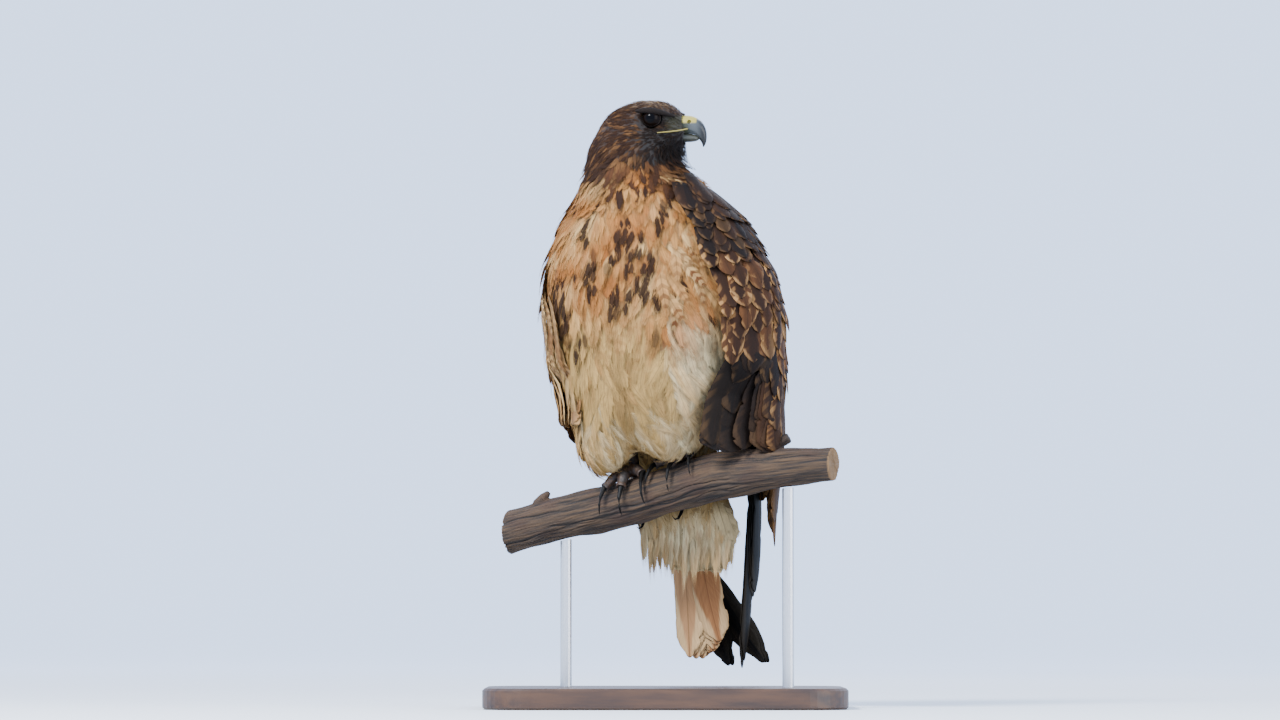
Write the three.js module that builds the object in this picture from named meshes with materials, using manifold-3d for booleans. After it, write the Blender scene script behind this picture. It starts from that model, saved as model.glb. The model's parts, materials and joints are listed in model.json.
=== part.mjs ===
// A life-size red-tailed hawk perched on a cut length of branch, which a plain display stand holds up.
// Millimetres, +Z up. The origin is the middle of the stand base's underside, and -Y is the viewer's side.
// The bird faces the viewer, turned a little to the viewer's left, and looks over its own left shoulder.
import * as THREE from "three";
import Module from "manifold-3d";

const wasm = await Module();
wasm.setup();

// Driving sizes
const BODY_TURN = THREE.MathUtils.degToRad(20); // the breast points this far to the viewer's left
const BODY_X = -12; // the body's upright axis
const BODY_Y = -2;
const HEAD_TURN = THREE.MathUtils.degToRad(-10); // the bill points to the right and slightly to the viewer
const HEAD_AT = new THREE.Vector3(-17, BODY_Y - 4, 499);
const GAP = 0.35; // clear space between nodes that touch
const RIM = 20; // points round a body ring
const VANE_THICK = 0.8;
const TRIM = 0.05; // slivers thinner than this, which the cuts leave, are closed up
const EYE_RADIUS = 8.2;
const BASE = { length: 310, depth: 220, height: 18, corner: 40, bevel: 2 };
const ROD_RADIUS = 5;
const ROD_PLACES = [-78, 124]; // across the bird, measured along the perch

const { sin, cos, abs, sign, pow, PI, min, max } = Math;
const rad = THREE.MathUtils.degToRad;
const lerp = THREE.MathUtils.lerp;
const smooth = THREE.MathUtils.smoothstep;
const vec = (x, y, z) => new THREE.Vector3(x, y, z);

// A point given as forward, left and up of the bird's body
const inBody = (u, v, z) =>
  vec(
    BODY_X - u * sin(BODY_TURN) + v * cos(BODY_TURN),
    BODY_Y - u * cos(BODY_TURN) - v * sin(BODY_TURN),
    z,
  );
// A point given as forward, left and up of the head
const inHead = (u, v, w) =>
  vec(
    HEAD_AT.x + u * cos(HEAD_TURN) - v * sin(HEAD_TURN),
    HEAD_AT.y + u * sin(HEAD_TURN) + v * cos(HEAD_TURN),
    HEAD_AT.z + w,
  );

// Reads column k of a table of rows at a value of column 0, on a smooth curve
function along(rows, k, value) {
  const up = rows[0][0] < rows[1][0] ? 1 : -1;
  let i = 0;
  while (i < rows.length - 2 && (rows[i + 1][0] - value) * up < 0) i++;
  const [a, b] = [rows[i], rows[i + 1]];
  const span = b[0] - a[0];
  const t = min(max((value - a[0]) / span, 0), 1);
  const slope = (p, q) => (q[k] - p[k]) / (q[0] - p[0]);
  const before = i > 0 ? slope(rows[i - 1], b) : slope(a, b);
  const after = i < rows.length - 2 ? slope(a, rows[i + 2]) : slope(a, b);
  const h = (p, q, m, n) =>
    (2 * t ** 3 - 3 * t ** 2 + 1) * p +
    (t ** 3 - 2 * t ** 2 + t) * m +
    (3 * t ** 2 - 2 * t ** 3) * q +
    (t ** 3 - t ** 2) * n;
  return h(a[k], b[k], before * span, after * span);
}

// Solids

function solid(points, faces) {
  const made = new wasm.Manifold(
    new wasm.Mesh({
      numProp: 3,
      vertProperties: new Float32Array(points.flatMap((p) => [p.x, p.y, p.z])),
      triVerts: new Uint32Array(faces.flat()),
    }),
  );
  if (made.volume() >= 0) return made;
  return solid(points, faces.map(([a, b, c]) => [a, c, b]));
}

// Closes a stack of rings with a point in the middle of each end
function loft(rings) {
  const n = rings[0].length;
  const points = rings.flat();
  const faces = [];
  for (let i = 0; i + 1 < rings.length; i++)
    for (let j = 0; j < n; j++) {
      const [a, b] = [i * n + j, i * n + ((j + 1) % n)];
      faces.push([a, b, b + n], [a, b + n, a + n]);
    }
  for (const [ring, first, turn] of [
    [rings[0], 0, true],
    [rings[rings.length - 1], points.length - n, false],
  ]) {
    const middle = ring.reduce((s, p) => s.add(p), vec(0, 0, 0)).divideScalar(n);
    const m = points.push(middle) - 1;
    for (let j = 0; j < n; j++) {
      const [a, b] = [first + j, first + ((j + 1) % n)];
      faces.push(turn ? [b, a, m] : [a, b, m]);
    }
  }
  return solid(points, faces);
}

// A thin closed plate between two grids of points that match, split alike on both faces
function plate(outer, inner) {
  const [rows, cols] = [outer.length, outer[0].length];
  const points = [...outer.flat(), ...inner.flat()];
  const back = rows * cols;
  const faces = [];
  const at = (i, j) => i * cols + j;
  for (let i = 0; i + 1 < rows; i++)
    for (let j = 0; j + 1 < cols; j++) {
      const [a, b, c, d] = [at(i, j), at(i, j + 1), at(i + 1, j + 1), at(i + 1, j)];
      faces.push([a, b, c], [a, c, d]);
      faces.push([back + a, back + c, back + b], [back + a, back + d, back + c]);
    }
  const rim = [];
  for (let j = 0; j + 1 < cols; j++) rim.push(at(0, j));
  for (let i = 0; i + 1 < rows; i++) rim.push(at(i, cols - 1));
  for (let j = cols - 1; j > 0; j--) rim.push(at(rows - 1, j));
  for (let i = rows - 1; i > 0; i--) rim.push(at(i, 0));
  rim.forEach((a, k) => {
    const b = rim[(k + 1) % rim.length];
    faces.push([a, back + a, back + b], [a, back + b, b]);
  });
  return solid(points, faces);
}

const superCos = (a, n) => sign(cos(a)) * pow(abs(cos(a)), 2 / n);
const superSin = (a, n) => sign(sin(a)) * pow(abs(sin(a)), 2 / n);
const angles = (count) => Array.from({ length: count }, (_, j) => (2 * PI * j) / count);
const steps = (from, to, count) =>
  Array.from({ length: count + 1 }, (_, i) => lerp(from, to, i / count));
const union = (pieces) => wasm.Manifold.union(pieces);
const largest = (made) =>
  made.decompose().reduce((best, s) => (s.volume() > best.volume() ? s : best));

// A tube of round sections along a path; radius(t) may give [across, up]
function tube(path, count, radius, sides, side = vec(0, 0, 1)) {
  const rings = steps(0, 1, count).map((t) => {
    const p = path.getPoint(t);
    const forward = path.getTangent(t);
    const across = side.clone().cross(forward).normalize();
    const up = forward.clone().cross(across).normalize();
    const r = radius(t);
    const [ra, ru] = Array.isArray(r) ? r : [r, r];
    return angles(sides).map((a) =>
      p.clone().addScaledVector(across, ra * cos(a)).addScaledVector(up, ru * sin(a)),
    );
  });
  return loft(rings);
}

const curve = (points) => new THREE.CatmullRomCurve3(points, false, "centripetal");

function ball(centre, radii, grow, turn = 0, count = 14) {
  const made = steps(0.05, 0.95, 7).map((t) => {
    const polar = t * PI;
    return angles(count).map((a) =>
      vec(
        (radii[0] + grow) * sin(polar) * cos(a),
        (radii[1] + grow) * sin(polar) * sin(a),
        -(radii[2] + grow) * cos(polar),
      )
        .applyAxisAngle(vec(0, 0, 1), turn)
        .add(centre),
    );
  });
  return loft(made);
}

// Perch: a dry branch under both feet, rising to the viewer's right

// along the perch, height of its middle, radius
const PERCH = [
  [-130, 152, 19.5],
  [-85, 163, 19],
  [-30, 174, 20],
  [15, 186, 20.5],
  [62, 199, 21.5],
  [110, 204, 17],
  [165, 208, 14.5],
];
const perchZ = (v) => along(PERCH, 1, v);
const perchR = (v) => along(PERCH, 2, v);
const PERCH_SIDES = 15;

function perch(grow) {
  const [first, last] = [PERCH[0][0], PERCH[PERCH.length - 1][0]];
  const rings = steps(first - grow, last + grow, 14).map((v) =>
    angles(PERCH_SIDES).map((a) => {
      // ridges of the grain, which turn slowly along the branch
      const ridge = grow ? 0.9 : 0.9 * sin(3 * a + 0.05 * v) * sin(0.11 * v + 2 * a);
      const r = perchR(v) + grow + ridge;
      return inBody(r * cos(a), v, perchZ(v) + r * sin(a));
    }),
  );
  return loft(rings);
}

// The stump of a broken twig on top of the branch, and a low snag near its left end
function perchStubs() {
  const stub = tube(
    curve([inBody(-2, 88, perchZ(88)), inBody(-6, 104, 222), inBody(-9, 122, 231)]),
    5,
    (t) => lerp(8.5, 4.2, t),
    9,
  );
  const snag = tube(
    curve([inBody(2, -108, perchZ(-108)), inBody(5, -101, 176), inBody(4, -92, 186)]),
    4,
    (t) => lerp(10, 2.2, t),
    8,
  );
  return [stub, snag];
}

// Torso: breast, belly, back and the vent that hangs behind the perch

// height, half width to the bird's left, to its right, front, back
const TORSO = [
  [468, 26, 30, 34, 16],
  [455, 44, 46, 46, 26],
  [440, 60, 62, 58, 36],
  [410, 78, 82, 72, 50],
  [380, 89, 91, 80, 60],
  [351, 96, 91, 85, 67],
  [316, 95, 86, 84, 72],
  [282, 82, 79, 78, 75],
  [250, 62, 70, 67, 76],
  [229, 54, 61, 42, 73],
  [223, 51, 55, -18, 71],
  [207, 52, 49, -33, 69],
  [190, 56, 40, -35, 64],
  [170, 68, 33, -25, 59],
  [150, 68, 30, -29, 56],
  [128, 62, 14, -38, 57],
  [114, 52, -4, -45, 56],
];
const ROUND = 2.15;

function torso(grow) {
  const rings = TORSO.map(([z, left, right, front, back], i) => {
    const end = i === 0 ? grow : i === TORSO.length - 1 ? -grow : 0;
    return angles(RIM).map((a) =>
      inBody(
        (front - back) / 2 + ((front + back) / 2 + grow) * superCos(a, ROUND),
        (left - right) / 2 + ((left + right) / 2 + grow) * superSin(a, ROUND),
        z + end,
      ),
    );
  });
  return loft(rings);
}

// Neck: height, middle across, middle in depth, half width, half depth
const NECK = [
  [414, -15, -7, 60, 52],
  [430, -19, -7, 63, 54],
  [440, -21, -7, 59, 50],
  [449, -22, -6, 55, 46],
  [459, -25, -5, 50, 42],
  [470, -26.5, -4, 45, 38],
  [480, -26.5, -4, 42, 35],
  [490, -28, -4, 35.5, 31],
  [499, -30, -4, 26, 25],
  [506, -31, -4, 14, 15],
];

function neck(grow) {
  const rings = NECK.map(([z, x, y, rx, ry], i) => {
    const end = i === 0 ? -grow : i === NECK.length - 1 ? grow : 0;
    return angles(RIM).map((a) =>
      vec(x + (rx + grow) * cos(a), BODY_Y + y + (ry + grow) * sin(a), z + end),
    );
  });
  return loft(rings);
}

// Head: distance forward, top, bottom, half width
const HEAD = [
  [-43, -4, -26, 13],
  [-39, 4, -30, 19],
  [-33, 11.5, -33, 23.5],
  [-23.6, 18.6, -34, 27],
  [-11.5, 23.2, -34, 29],
  [0, 25.3, -34, 29.5],
  [11, 24.9, -35, 28],
  [19.8, 23.2, -33, 24.5],
  [28.4, 18.6, -28, 19.5],
  [34, 14.2, -22.5, 14.5],
  [38.5, 10, -16.5, 10.5],
];
const EYE = { forward: 9.3, up: 5.9, side: 20.4 };
const BROW = [
  [-5, 22, 14.2],
  [5, 24.6, 15.4],
  [15, 22.8, 14.2],
  [26, 16, 10.8],
];
const GAPE = [
  [14.9, 25.6, -6.8],
  [23, 21.6, -5.8],
  [31, 15, -4.4],
  [38.5, 8.6, -2.4],
];

function skull(grow) {
  const rings = HEAD.map(([u, top, bottom, half], i) => {
    const end = i === 0 ? -grow : i === HEAD.length - 1 ? grow : 0;
    const middle = (top + bottom) / 2 + 1;
    return angles(20).map((a) =>
      inHead(
        u + end,
        (half + grow) * superCos(a, 2.2),
        middle + ((sin(a) > 0 ? top - middle : middle - bottom) + grow) * superSin(a, 2.2),
      ),
    );
  });
  return loft(rings);
}

const bothSides = (make) => [1, -1].map(make);
const mirrored = (rows, side) => rows.map(([u, v, w]) => inHead(u, v * side, w));

// The brow ridge that shades the eye, the lids and the line of the mouth
function headForms() {
  const eyes = bothSides((side) => inHead(EYE.forward, EYE.side * side, EYE.up));
  const brows = bothSides((side) =>
    tube(curve(mirrored(BROW, side)), 6, (t) => lerp(1, 3.3, pow(sin(PI * min(t + 0.12, 1)), 0.6)), 6),
  );
  const mouth = bothSides((side) =>
    tube(curve(mirrored(GAPE, side)), 4, (t) => lerp(1.3, 1.5, t), 5),
  );
  const lids = bothSides((side, i) => {
    const out = inHead(EYE.forward, EYE.side * side + 10 * side, EYE.up).sub(eyes[i]).normalize();
    const ring = new THREE.CatmullRomCurve3(
      angles(16).map((a) => {
        const p = inHead(EYE.forward + 8 * cos(a), EYE.side * side, EYE.up + 6.6 * sin(a));
        return p.addScaledVector(out, 4.4 - 1.6 * abs(cos(a)));
      }),
      true,
    );
    return ringTube(ring, 14, 1.5, 5, out);
  });
  return [...brows, ...mouth, ...lids];
}

// A closed ring of round section
function ringTube(path, count, radius, sides, out) {
  const points = [];
  const faces = [];
  for (let i = 0; i < count; i++) {
    const p = path.getPoint(i / count);
    const forward = path.getTangent(i / count);
    const across = out.clone().cross(forward).normalize();
    angles(sides).forEach((a) =>
      points.push(
        p.clone().addScaledVector(across, radius * cos(a)).addScaledVector(out, radius * sin(a)),
      ),
    );
  }
  for (let i = 0; i < count; i++)
    for (let j = 0; j < sides; j++) {
      const [i2, j2] = [(i + 1) % count, (j + 1) % sides];
      const [a, b, c, d] = [i * sides + j, i * sides + j2, i2 * sides + j2, i2 * sides + j];
      faces.push([a, b, c], [a, c, d]);
    }
  return solid(points, faces);
}

const eyeball = (side, grow) =>
  ball(inHead(EYE.forward, EYE.side * side, EYE.up), [EYE_RADIUS, EYE_RADIUS, EYE_RADIUS], grow, 0, 12);

// Upper bill with its cere: forward, up, half height, half width
const BILL = [
  [26, 0.6, 9.4, 9.6],
  [33, 1.2, 9.0, 8.8],
  [39.5, 1.4, 8.1, 7.8],
  [44.5, -0.8, 7.4, 6.6],
  [48.2, -4.8, 5.6, 5.0],
  [50.4, -9.8, 3.6, 3.4],
  [51.2, -14, 1.9, 1.9],
  [50.6, -17.6, 0.5, 0.5],
];
const CERE_END = 43;
const LOWER_BILL = [
  [24, -8.6, 4.6, 8.2],
  [33, -9.2, 4.2, 7.4],
  [40, -9.7, 3.6, 6.0],
  [45, -9.9, 2.5, 4.0],
  [47.2, -9.7, 1.1, 1.8],
];
const NOSTRIL = { forward: 39.4, up: 3.8, radius: 1.7 };

function billLoft(rows, grow, sides = 12) {
  const path = curve(rows.map(([u, w]) => inHead(u, 0, w)));
  const left = inHead(0, 1, 0).sub(inHead(0, 0, 0));
  const count = (rows.length - 1) * 2;
  const rings = steps(0, 1, count).map((t) => {
    const p = path.getPoint(t);
    const up = path.getTangent(t).cross(left).normalize().negate();
    const i = min(Math.floor(t * (rows.length - 1)), rows.length - 2);
    const f = t * (rows.length - 1) - i;
    const [ru, ra] = [2, 3].map((k) => lerp(rows[i][k], rows[i + 1][k], f) + grow);
    return angles(sides).map((a) =>
      p.clone().addScaledVector(left, ra * superCos(a, 2)).addScaledVector(up, ru * superSin(a, 2)),
    );
  });
  return loft(rings);
}

// Wings: each lies on a surface of its own round the flank, which the feathers follow

// height, half width, front, back
const WING_LEFT = [
  [470, 34, 40, 20],
  [458, 50, 50, 30],
  [440, 66, 60, 42],
  [416, 89, 72, 56],
  [396, 100, 78, 64],
  [375, 110, 83, 70],
  [351, 117, 86, 76],
  [325, 119, 86, 80],
  [295, 118, 84, 83],
  [260, 116, 80, 86],
  [220, 113, 74, 88],
  [185, 110, 70, 88],
  [140, 103, 66, 86],
];
const WING_RIGHT = [
  [470, 34, 40, 20],
  [458, 50, 48, 30],
  [440, 66, 59, 42],
  [416, 82, 73, 56],
  [396, 88, 80, 64],
  [375, 90, 85, 70],
  [351, 92, 88, 75],
  [325, 91, 86, 79],
  [295, 89, 82, 82],
  [260, 83, 76, 83],
  [220, 74, 70, 83],
  [185, 70, 66, 82],
  [140, 66, 62, 80],
];

function wingPoint(wing, side, angle, z, lift) {
  const [half, front, back] = [1, 2, 3].map((k) => along(wing, k, z));
  const a = rad(angle);
  return inBody(
    (front - back) / 2 + ((front + back) / 2 + lift) * superCos(a, ROUND),
    side * (half + lift) * superSin(a, ROUND),
    z,
  );
}

// The arm and hand under the coverts: front edge angle, back edge angle and depth by height.
// Breast feathers lie over the front of the right arm, so its upper front edge is further round.
const ARMS = {
  left: [
    [462, 52, 112, 22],
    [440, 44, 138, 24],
    [400, 44, 150, 26],
    [350, 45, 154, 26],
    [310, 50, 154, 22],
    [280, 60, 152, 12],
    [262, 74, 148, 4],
  ],
  right: [
    [462, 84, 122, 22],
    [440, 80, 138, 24],
    [400, 76, 150, 26],
    [350, 62, 154, 26],
    [310, 50, 154, 22],
    [280, 56, 152, 12],
    [262, 70, 148, 4],
  ],
};

function arm(wing, side, rowsOfArm) {
  const rows = steps(rowsOfArm[0][0], rowsOfArm[rowsOfArm.length - 1][0], 8);
  const grid = (inside) =>
    rows.map((z, i) => {
      const [from, to, depth] = [1, 2, 3].map((k) => along(rowsOfArm, k, z));
      return steps(0, 1, 6).map((s) => {
        const edge = min(1, pow(sin(PI * s), 0.5) * 1.15) * (i === 0 ? 0.3 : 1);
        const lift = inside ? -1.2 - depth * max(edge, 0.25) : -2.6 * (1 - edge) - 0.4;
        return wingPoint(wing, side, lerp(from, to, s), z, lift);
      });
    });
  return plate(grid(false), grid(true));
}

// Share of a feather's half width at a share of its length
const vaneWidth = (t, blunt) =>
  t < 0.7 ? lerp(0.62, 1, pow(t / 0.7, 0.7)) : pow(max(1 - pow((t - 0.7) / 0.3, blunt), 0), 0.5);
const VANE_ROWS = [0, 0.5, 0.86, 1];

// A feather lying on the wing's surface, from its root to its tip; each is [angle, height, lift]
function wingVane(wing, side, root, tip, half, tilt) {
  const grid = (inside) =>
    VANE_ROWS.map((t) => {
      const z = lerp(root[1], tip[1], t);
      const angle = lerp(root[0], tip[0], t);
      const lift = lerp(root[2], tip[2], smooth(t, 0, 0.8));
      const wide = t === 1 ? half * 0.3 : half * vaneWidth(t, 2.2);
      const radius = along(wing, 1, z);
      return [-1, 0, 1].map((q) =>
        wingPoint(
          wing,
          side,
          angle + ((q * wide) / radius) * (180 / PI),
          z,
          lift + tilt * q + 0.5 * (1 - q * q) - (inside ? VANE_THICK : 0),
        ),
      );
    });
  return plate(grid(false), grid(true));
}

// Tiers of covert and scapular feathers: count, angles of the roots and the tips from front to back, how
// far the right wing's front is set back, heights of the roots and the tips, half width, lift
const TIERS = [
  { count: 7, root: [62, 142], tip: [60, 146], setBack: 20, from: [398, 410], to: [362, 350], half: 11.5, lift: 3.0 },
  { count: 7, root: [56, 144], tip: [58, 150], setBack: 14, from: [366, 366], to: [326, 306], half: 12, lift: 2.6 },
  { count: 8, root: [56, 146], tip: [64, 152], setBack: 2, from: [326, 330], to: [276, 240], half: 12.5, lift: 2.0 },
];
const FLIGHT = { count: 8, root: [66, 146], tip: [84, 156], from: 288, half: 13.5, lift: 0.6 };

function tierVanes(wing, side, tier) {
  return steps(0, 1, tier.count - 1).map((s, i) => {
    const sway = 1.5 * sin(i * 2.4);
    const back = side < 0 ? tier.setBack * (1 - s) : 0;
    return wingVane(
      wing,
      side,
      [lerp(...tier.root, s) + back, lerp(...tier.from, s), -3.5],
      [lerp(...tier.tip, s) + back + sway, lerp(...tier.to, s) + 2 * sway, tier.lift],
      tier.half,
      -1.05,
    );
  });
}

// Inner feathers that close the space between the left wing and the belly, drawn in under the others
const TUCKED = { count: 3, root: [54, 68], tip: [47, 64], from: 292, to: 234, half: 12, lift: -9 };

const tuckedVanes = (wing, side) =>
  steps(0, 1, TUCKED.count - 1).map((s) =>
    wingVane(
      wing,
      side,
      [lerp(...TUCKED.root, s), TUCKED.from, -5],
      [lerp(...TUCKED.tip, s), TUCKED.to, TUCKED.lift],
      TUCKED.half,
      -1.1,
    ),
  );

// Secondaries and tertials; the front ones end above the perch and the others pass behind it
function flightVanes(wing, side) {
  return steps(0, 1, FLIGHT.count - 1).map((s, i) => {
    const end = 240 - 88 * smooth(i, 1.8, 4.4) + 60 * smooth(i, 4.6, 7);
    return wingVane(
      wing,
      side,
      [lerp(...FLIGHT.root, s), FLIGHT.from, -3.5],
      [lerp(...FLIGHT.tip, s), end, FLIGHT.lift],
      FLIGHT.half,
      -1.1,
    );
  });
}

// Long feathers that hang free: a bent strip from its root to its tip
function strip(points, across, halves, thick = VANE_THICK, camber = 1) {
  const path = curve(points);
  const rows = [0, 0.5, 0.86, 1];
  const grid = (inside) =>
    rows.map((t) => {
      const p = path.getPoint(t);
      const side = across[0].clone().lerp(across[1], t).normalize();
      const out = side.clone().cross(path.getTangent(t)).normalize();
      const half = t === 1 ? halves * 0.28 : halves * vaneWidth(t, 2.4);
      return [-1, 0, 1].map((q) =>
        p
          .clone()
          .addScaledVector(side, q * half)
          .addScaledVector(out, camber * (1 - q * q) - (inside ? thick : 0)),
      );
    });
  return plate(grid(false), grid(true));
}

// Primaries: those that show past the wing, stacked, with stepped tips and one root block
const PRIMARIES = 5;
const PRIMARY_LAYER = 1.35;
const PRIMARY_HALF = 12;
const PRIMARY_SETS = {
  left: {
    root: [-52, 78, 248],
    bend: [-72, 73, 165],
    tip: [-95, 62, 100],
    end: [-97, 55, 34],
    across: [[-1, 0.45], [-1, 0.15]],
    stack: [0.3, -1],
  },
  right: {
    root: [-66, -48, 248],
    bend: [-91, -20, 165],
    tip: [-108, 70, 39],
    end: [-104, 36, 36],
    across: [[-0.55, 0.8], [-0.1, 1]],
    stack: [1, 0.1],
  },
};

function primaries(set) {
  const across = set.across.map(([u, v]) => inBody(u, v, 0).sub(inBody(0, 0, 0)));
  const vanes = steps(0, PRIMARIES - 1, PRIMARIES - 1).map((i) => {
    const off = PRIMARY_LAYER * i;
    const shift = ([u, v, z]) => inBody(u + set.stack[0] * off, v + set.stack[1] * off, z);
    const tip = set.tip.map((x, k) => lerp(x, set.end[k], i / (PRIMARIES - 1)));
    return strip([shift(set.root), shift(set.bend), shift(tip)], across, PRIMARY_HALF);
  });
  const block = tube(
    curve([
      inBody(set.root[0] + set.stack[0] * 4, set.root[1] + set.stack[1] * 4, set.root[2] + 8),
      inBody(set.root[0] + set.stack[0] * 4, set.root[1] + set.stack[1] * 4, set.root[2] - 12),
    ]),
    1,
    () => [6, 6],
    10,
    vec(0.3, 1, 0.1),
  );
  return union([...vanes, block]);
}

// Tail: twelve feathers in six pairs, the middle pair at the back, on one root
const TAIL = {
  pairs: 6,
  root: [-66, 6, 226],
  tip: [-86, 20, 40],
  half: 12,
  spread: 12,
  layer: 1.35,
  thick: 0.75,
  camber: 0.3,
};

function tail() {
  const across = [inBody(0, 1, 0).sub(inBody(0, 0, 0)), inBody(0.12, 1, 0).sub(inBody(0, 0, 0))];
  const vanes = [];
  for (let i = 0; i < TAIL.pairs; i++)
    for (const side of [-1, 1]) {
      const s = (i + 0.5) / TAIL.pairs;
      const depth = TAIL.layer * i + (side > 0 ? TAIL.layer / 2 : 0);
      const [u, v, z] = TAIL.root;
      const [tu, tv, tz] = TAIL.tip;
      vanes.push(
        strip(
          [
            inBody(u + depth - 3, v + side * 5 * s, z),
            inBody((u + tu) / 2 + depth - 1, (v + tv) / 2 + side * 8 * s, (z + tz) / 2),
            inBody(tu + depth, tv + side * TAIL.spread * s, tz + 3 * s * s + (side > 0 ? 2 : 0)),
          ],
          across,
          TAIL.half,
          TAIL.thick,
          -side * TAIL.camber,
        ),
      );
    }
  const [u, v, z] = TAIL.root;
  const ahead = inBody(1, 0, 0).sub(inBody(0, 0, 0));
  const core = curve([inBody(u - 1, v, z + 6), inBody(u - 5, v + 2, z - 34)]);
  const block = tube(core, 3, () => [21, 8], 14, ahead);
  return union([...vanes, block]);
}

// Legs and feet

// The feathered thigh lobes at the foot of the belly
const THIGH = { forward: 17, side: 27, up: 235, rise: 5, radii: [29, 33, 35] };
const thigh = (side, grow) =>
  ball(inBody(THIGH.forward, THIGH.side * side - 6, THIGH.up + side * THIGH.rise), THIGH.radii, grow, -BODY_TURN, 14);

// Each toe wraps the perch: where it starts and ends along the perch, its end angle from the top, its radius,
// and the reach of its talon
const TOES = {
  outer: { shift: -13, turn: 52, radius: 4.6, claw: 20, start: 6 },
  middle: { shift: 0, turn: 62, radius: 5.2, claw: 22, start: 8 },
  inner: { shift: 14, turn: 44, radius: 5.0, claw: 25, start: 6 },
  hind: { shift: 3, turn: -92, radius: 5.2, claw: 29, start: -6 },
};
const FEET = {
  right: { along: -19, side: -1, turnBack: 0 },
  left: { along: 24, side: 1, turnBack: 24 },
};

// A point beside the perch: degrees from its top towards the front, distance from its surface, place along it
function onPerch(turn, off, v) {
  const a = rad(turn);
  const r = perchR(v) + 0.9 + off;
  return inBody(r * sin(a), v, perchZ(v) + r * cos(a));
}

function toePath(foot, toe) {
  const back = toe.turn > 0 ? foot.turnBack : foot.turnBack * 0.4;
  const end = toe.turn - back;
  return steps(0, 1, 5).map((t) =>
    onPerch(
      lerp(toe.start - back * 0.4, end, t),
      toe.radius + GAP + 2.2 * sin(PI * t) * (1 - t),
      foot.along - foot.side * toe.shift * pow(t, 0.8) * 1.25,
    ),
  );
}

function toe(foot, form, grow) {
  // two pads and the scutes between the joints
  const radius = (t) => (form.radius + 0.5 * sin(t * 14) + 0.35 * abs(sin(t * 30)) + grow) * lerp(1.08, 0.82, t);
  return tube(curve(toePath(foot, form)), 6, radius, 7);
}

function ankle(foot, grow) {
  const top = foot.along;
  return tube(
    curve([
      onPerch(-6 - foot.turnBack * 0.4, 3.4, top),
      onPerch(-8 - foot.turnBack * 0.4, 11, top + 0.5 * foot.side),
      inBody(-6, top + foot.side * 2, perchZ(top) + 46),
    ]),
    3,
    (t) => lerp(8, 6, t) + grow,
    10,
    inBody(0, 1, 0).sub(inBody(0, 0, 0)),
  );
}

const foot = (form, grow) =>
  union([...Object.values(TOES).map((t) => toe(form, t, grow)), ankle(form, grow)]);

// A talon: a hook that leaves the toe's end, splays a little further and turns down to the bark
function talon(form, toeForm, grow) {
  const path = toePath(form, toeForm);
  const last = path[path.length - 1];
  const end = form.along - form.side * toeForm.shift * 1.25;
  const splay = -form.side * toeForm.shift * 0.3;
  const back = toeForm.turn > 0 ? form.turnBack : form.turnBack * 0.4;
  const turn = toeForm.turn - back;
  const reach = (toeForm.claw / perchR(end)) * (180 / PI) * sign(toeForm.turn);
  const at = (f, off) => onPerch(turn + reach * f, off, end + splay * f);
  const points = [at(0.34, toeForm.radius * 1.45), at(0.7, toeForm.radius * 1.2), at(1, 0.9)];
  const root = last.clone().lerp(points[0], -0.25);
  const radius = (t) => max(lerp(3.3, 0.35, pow(t, 0.85)), 0.35) + grow;
  return tube(curve([root, last, ...points]), 6, radius, 7);
}

// Stand

// Stands on its underside, with rounded corners and a small bevel top and bottom
function standBase() {
  const { length, depth, height, corner, bevel } = BASE;
  const [x, y, r] = [length / 2 - bevel, depth / 2 - bevel, corner - bevel];
  const outline = new THREE.Shape();
  outline.moveTo(-x + r, -y);
  outline.lineTo(x - r, -y);
  outline.absarc(x - r, -y + r, r, -PI / 2, 0);
  outline.absarc(x - r, y - r, r, 0, PI / 2);
  outline.absarc(-x + r, y - r, r, PI / 2, PI);
  outline.absarc(-x + r, -y + r, r, PI, 1.5 * PI);
  const geometry = new THREE.ExtrudeGeometry(outline, {
    depth: height - 2 * bevel,
    bevelEnabled: true,
    bevelThickness: bevel,
    bevelSize: bevel,
    bevelSegments: 1,
    curveSegments: 5,
  });
  geometry.translate(0, 0, bevel);
  return geometry;
}

function rod(v) {
  const foot = inBody(0, v, BASE.height + GAP);
  const top = inBody(0, v, perchZ(v));
  return tube(new THREE.LineCurve3(foot, top), 1, () => ROD_RADIUS, 16, vec(1, 0, 0));
}

// Assembly

const bird = new THREE.Group();

const finish = (colour, roughness, metalness = 0) =>
  new THREE.MeshStandardMaterial({ color: colour, roughness, metalness });
const FINISHES = {
  breast: finish(0xcfa878, 0.95),
  belly: finish(0xddcfae, 0.95),
  crown: finish(0x5c4130, 0.9),
  wing: finish(0x55402f, 0.85),
  dark: finish(0x1d1714, 0.8),
  tail: finish(0xb98663, 0.8),
  horn: finish(0x39414b, 0.35),
  cere: finish(0xa9ab62, 0.5),
  iris: finish(0x24130c, 0.05),
  toe: finish(0xb08d3c, 0.6),
  bark: finish(0x6d5a49, 0.95),
  wood: finish(0x3a2a20, 0.45),
  steel: finish(0x8f9296, 0.3, 1),
};

function geometryOf(made) {
  const mesh = made.getMesh();
  const places = new Float32Array(mesh.numVert * 3);
  for (let i = 0; i < mesh.numVert; i++)
    places.set(mesh.vertProperties.subarray(i * mesh.numProp, i * mesh.numProp + 3), i * 3);
  const geometry = new THREE.BufferGeometry();
  geometry.setAttribute("position", new THREE.BufferAttribute(places, 3));
  geometry.setIndex(new THREE.BufferAttribute(mesh.triVerts, 1));
  geometry.computeVertexNormals();
  return geometry;
}

function add(name, made, material) {
  const geometry = made.isBufferGeometry ? made : geometryOf(largest(largest(made).simplify(TRIM)));
  const mesh = new THREE.Mesh(geometry, material);
  mesh.name = name;
  bird.add(mesh);
}

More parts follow.
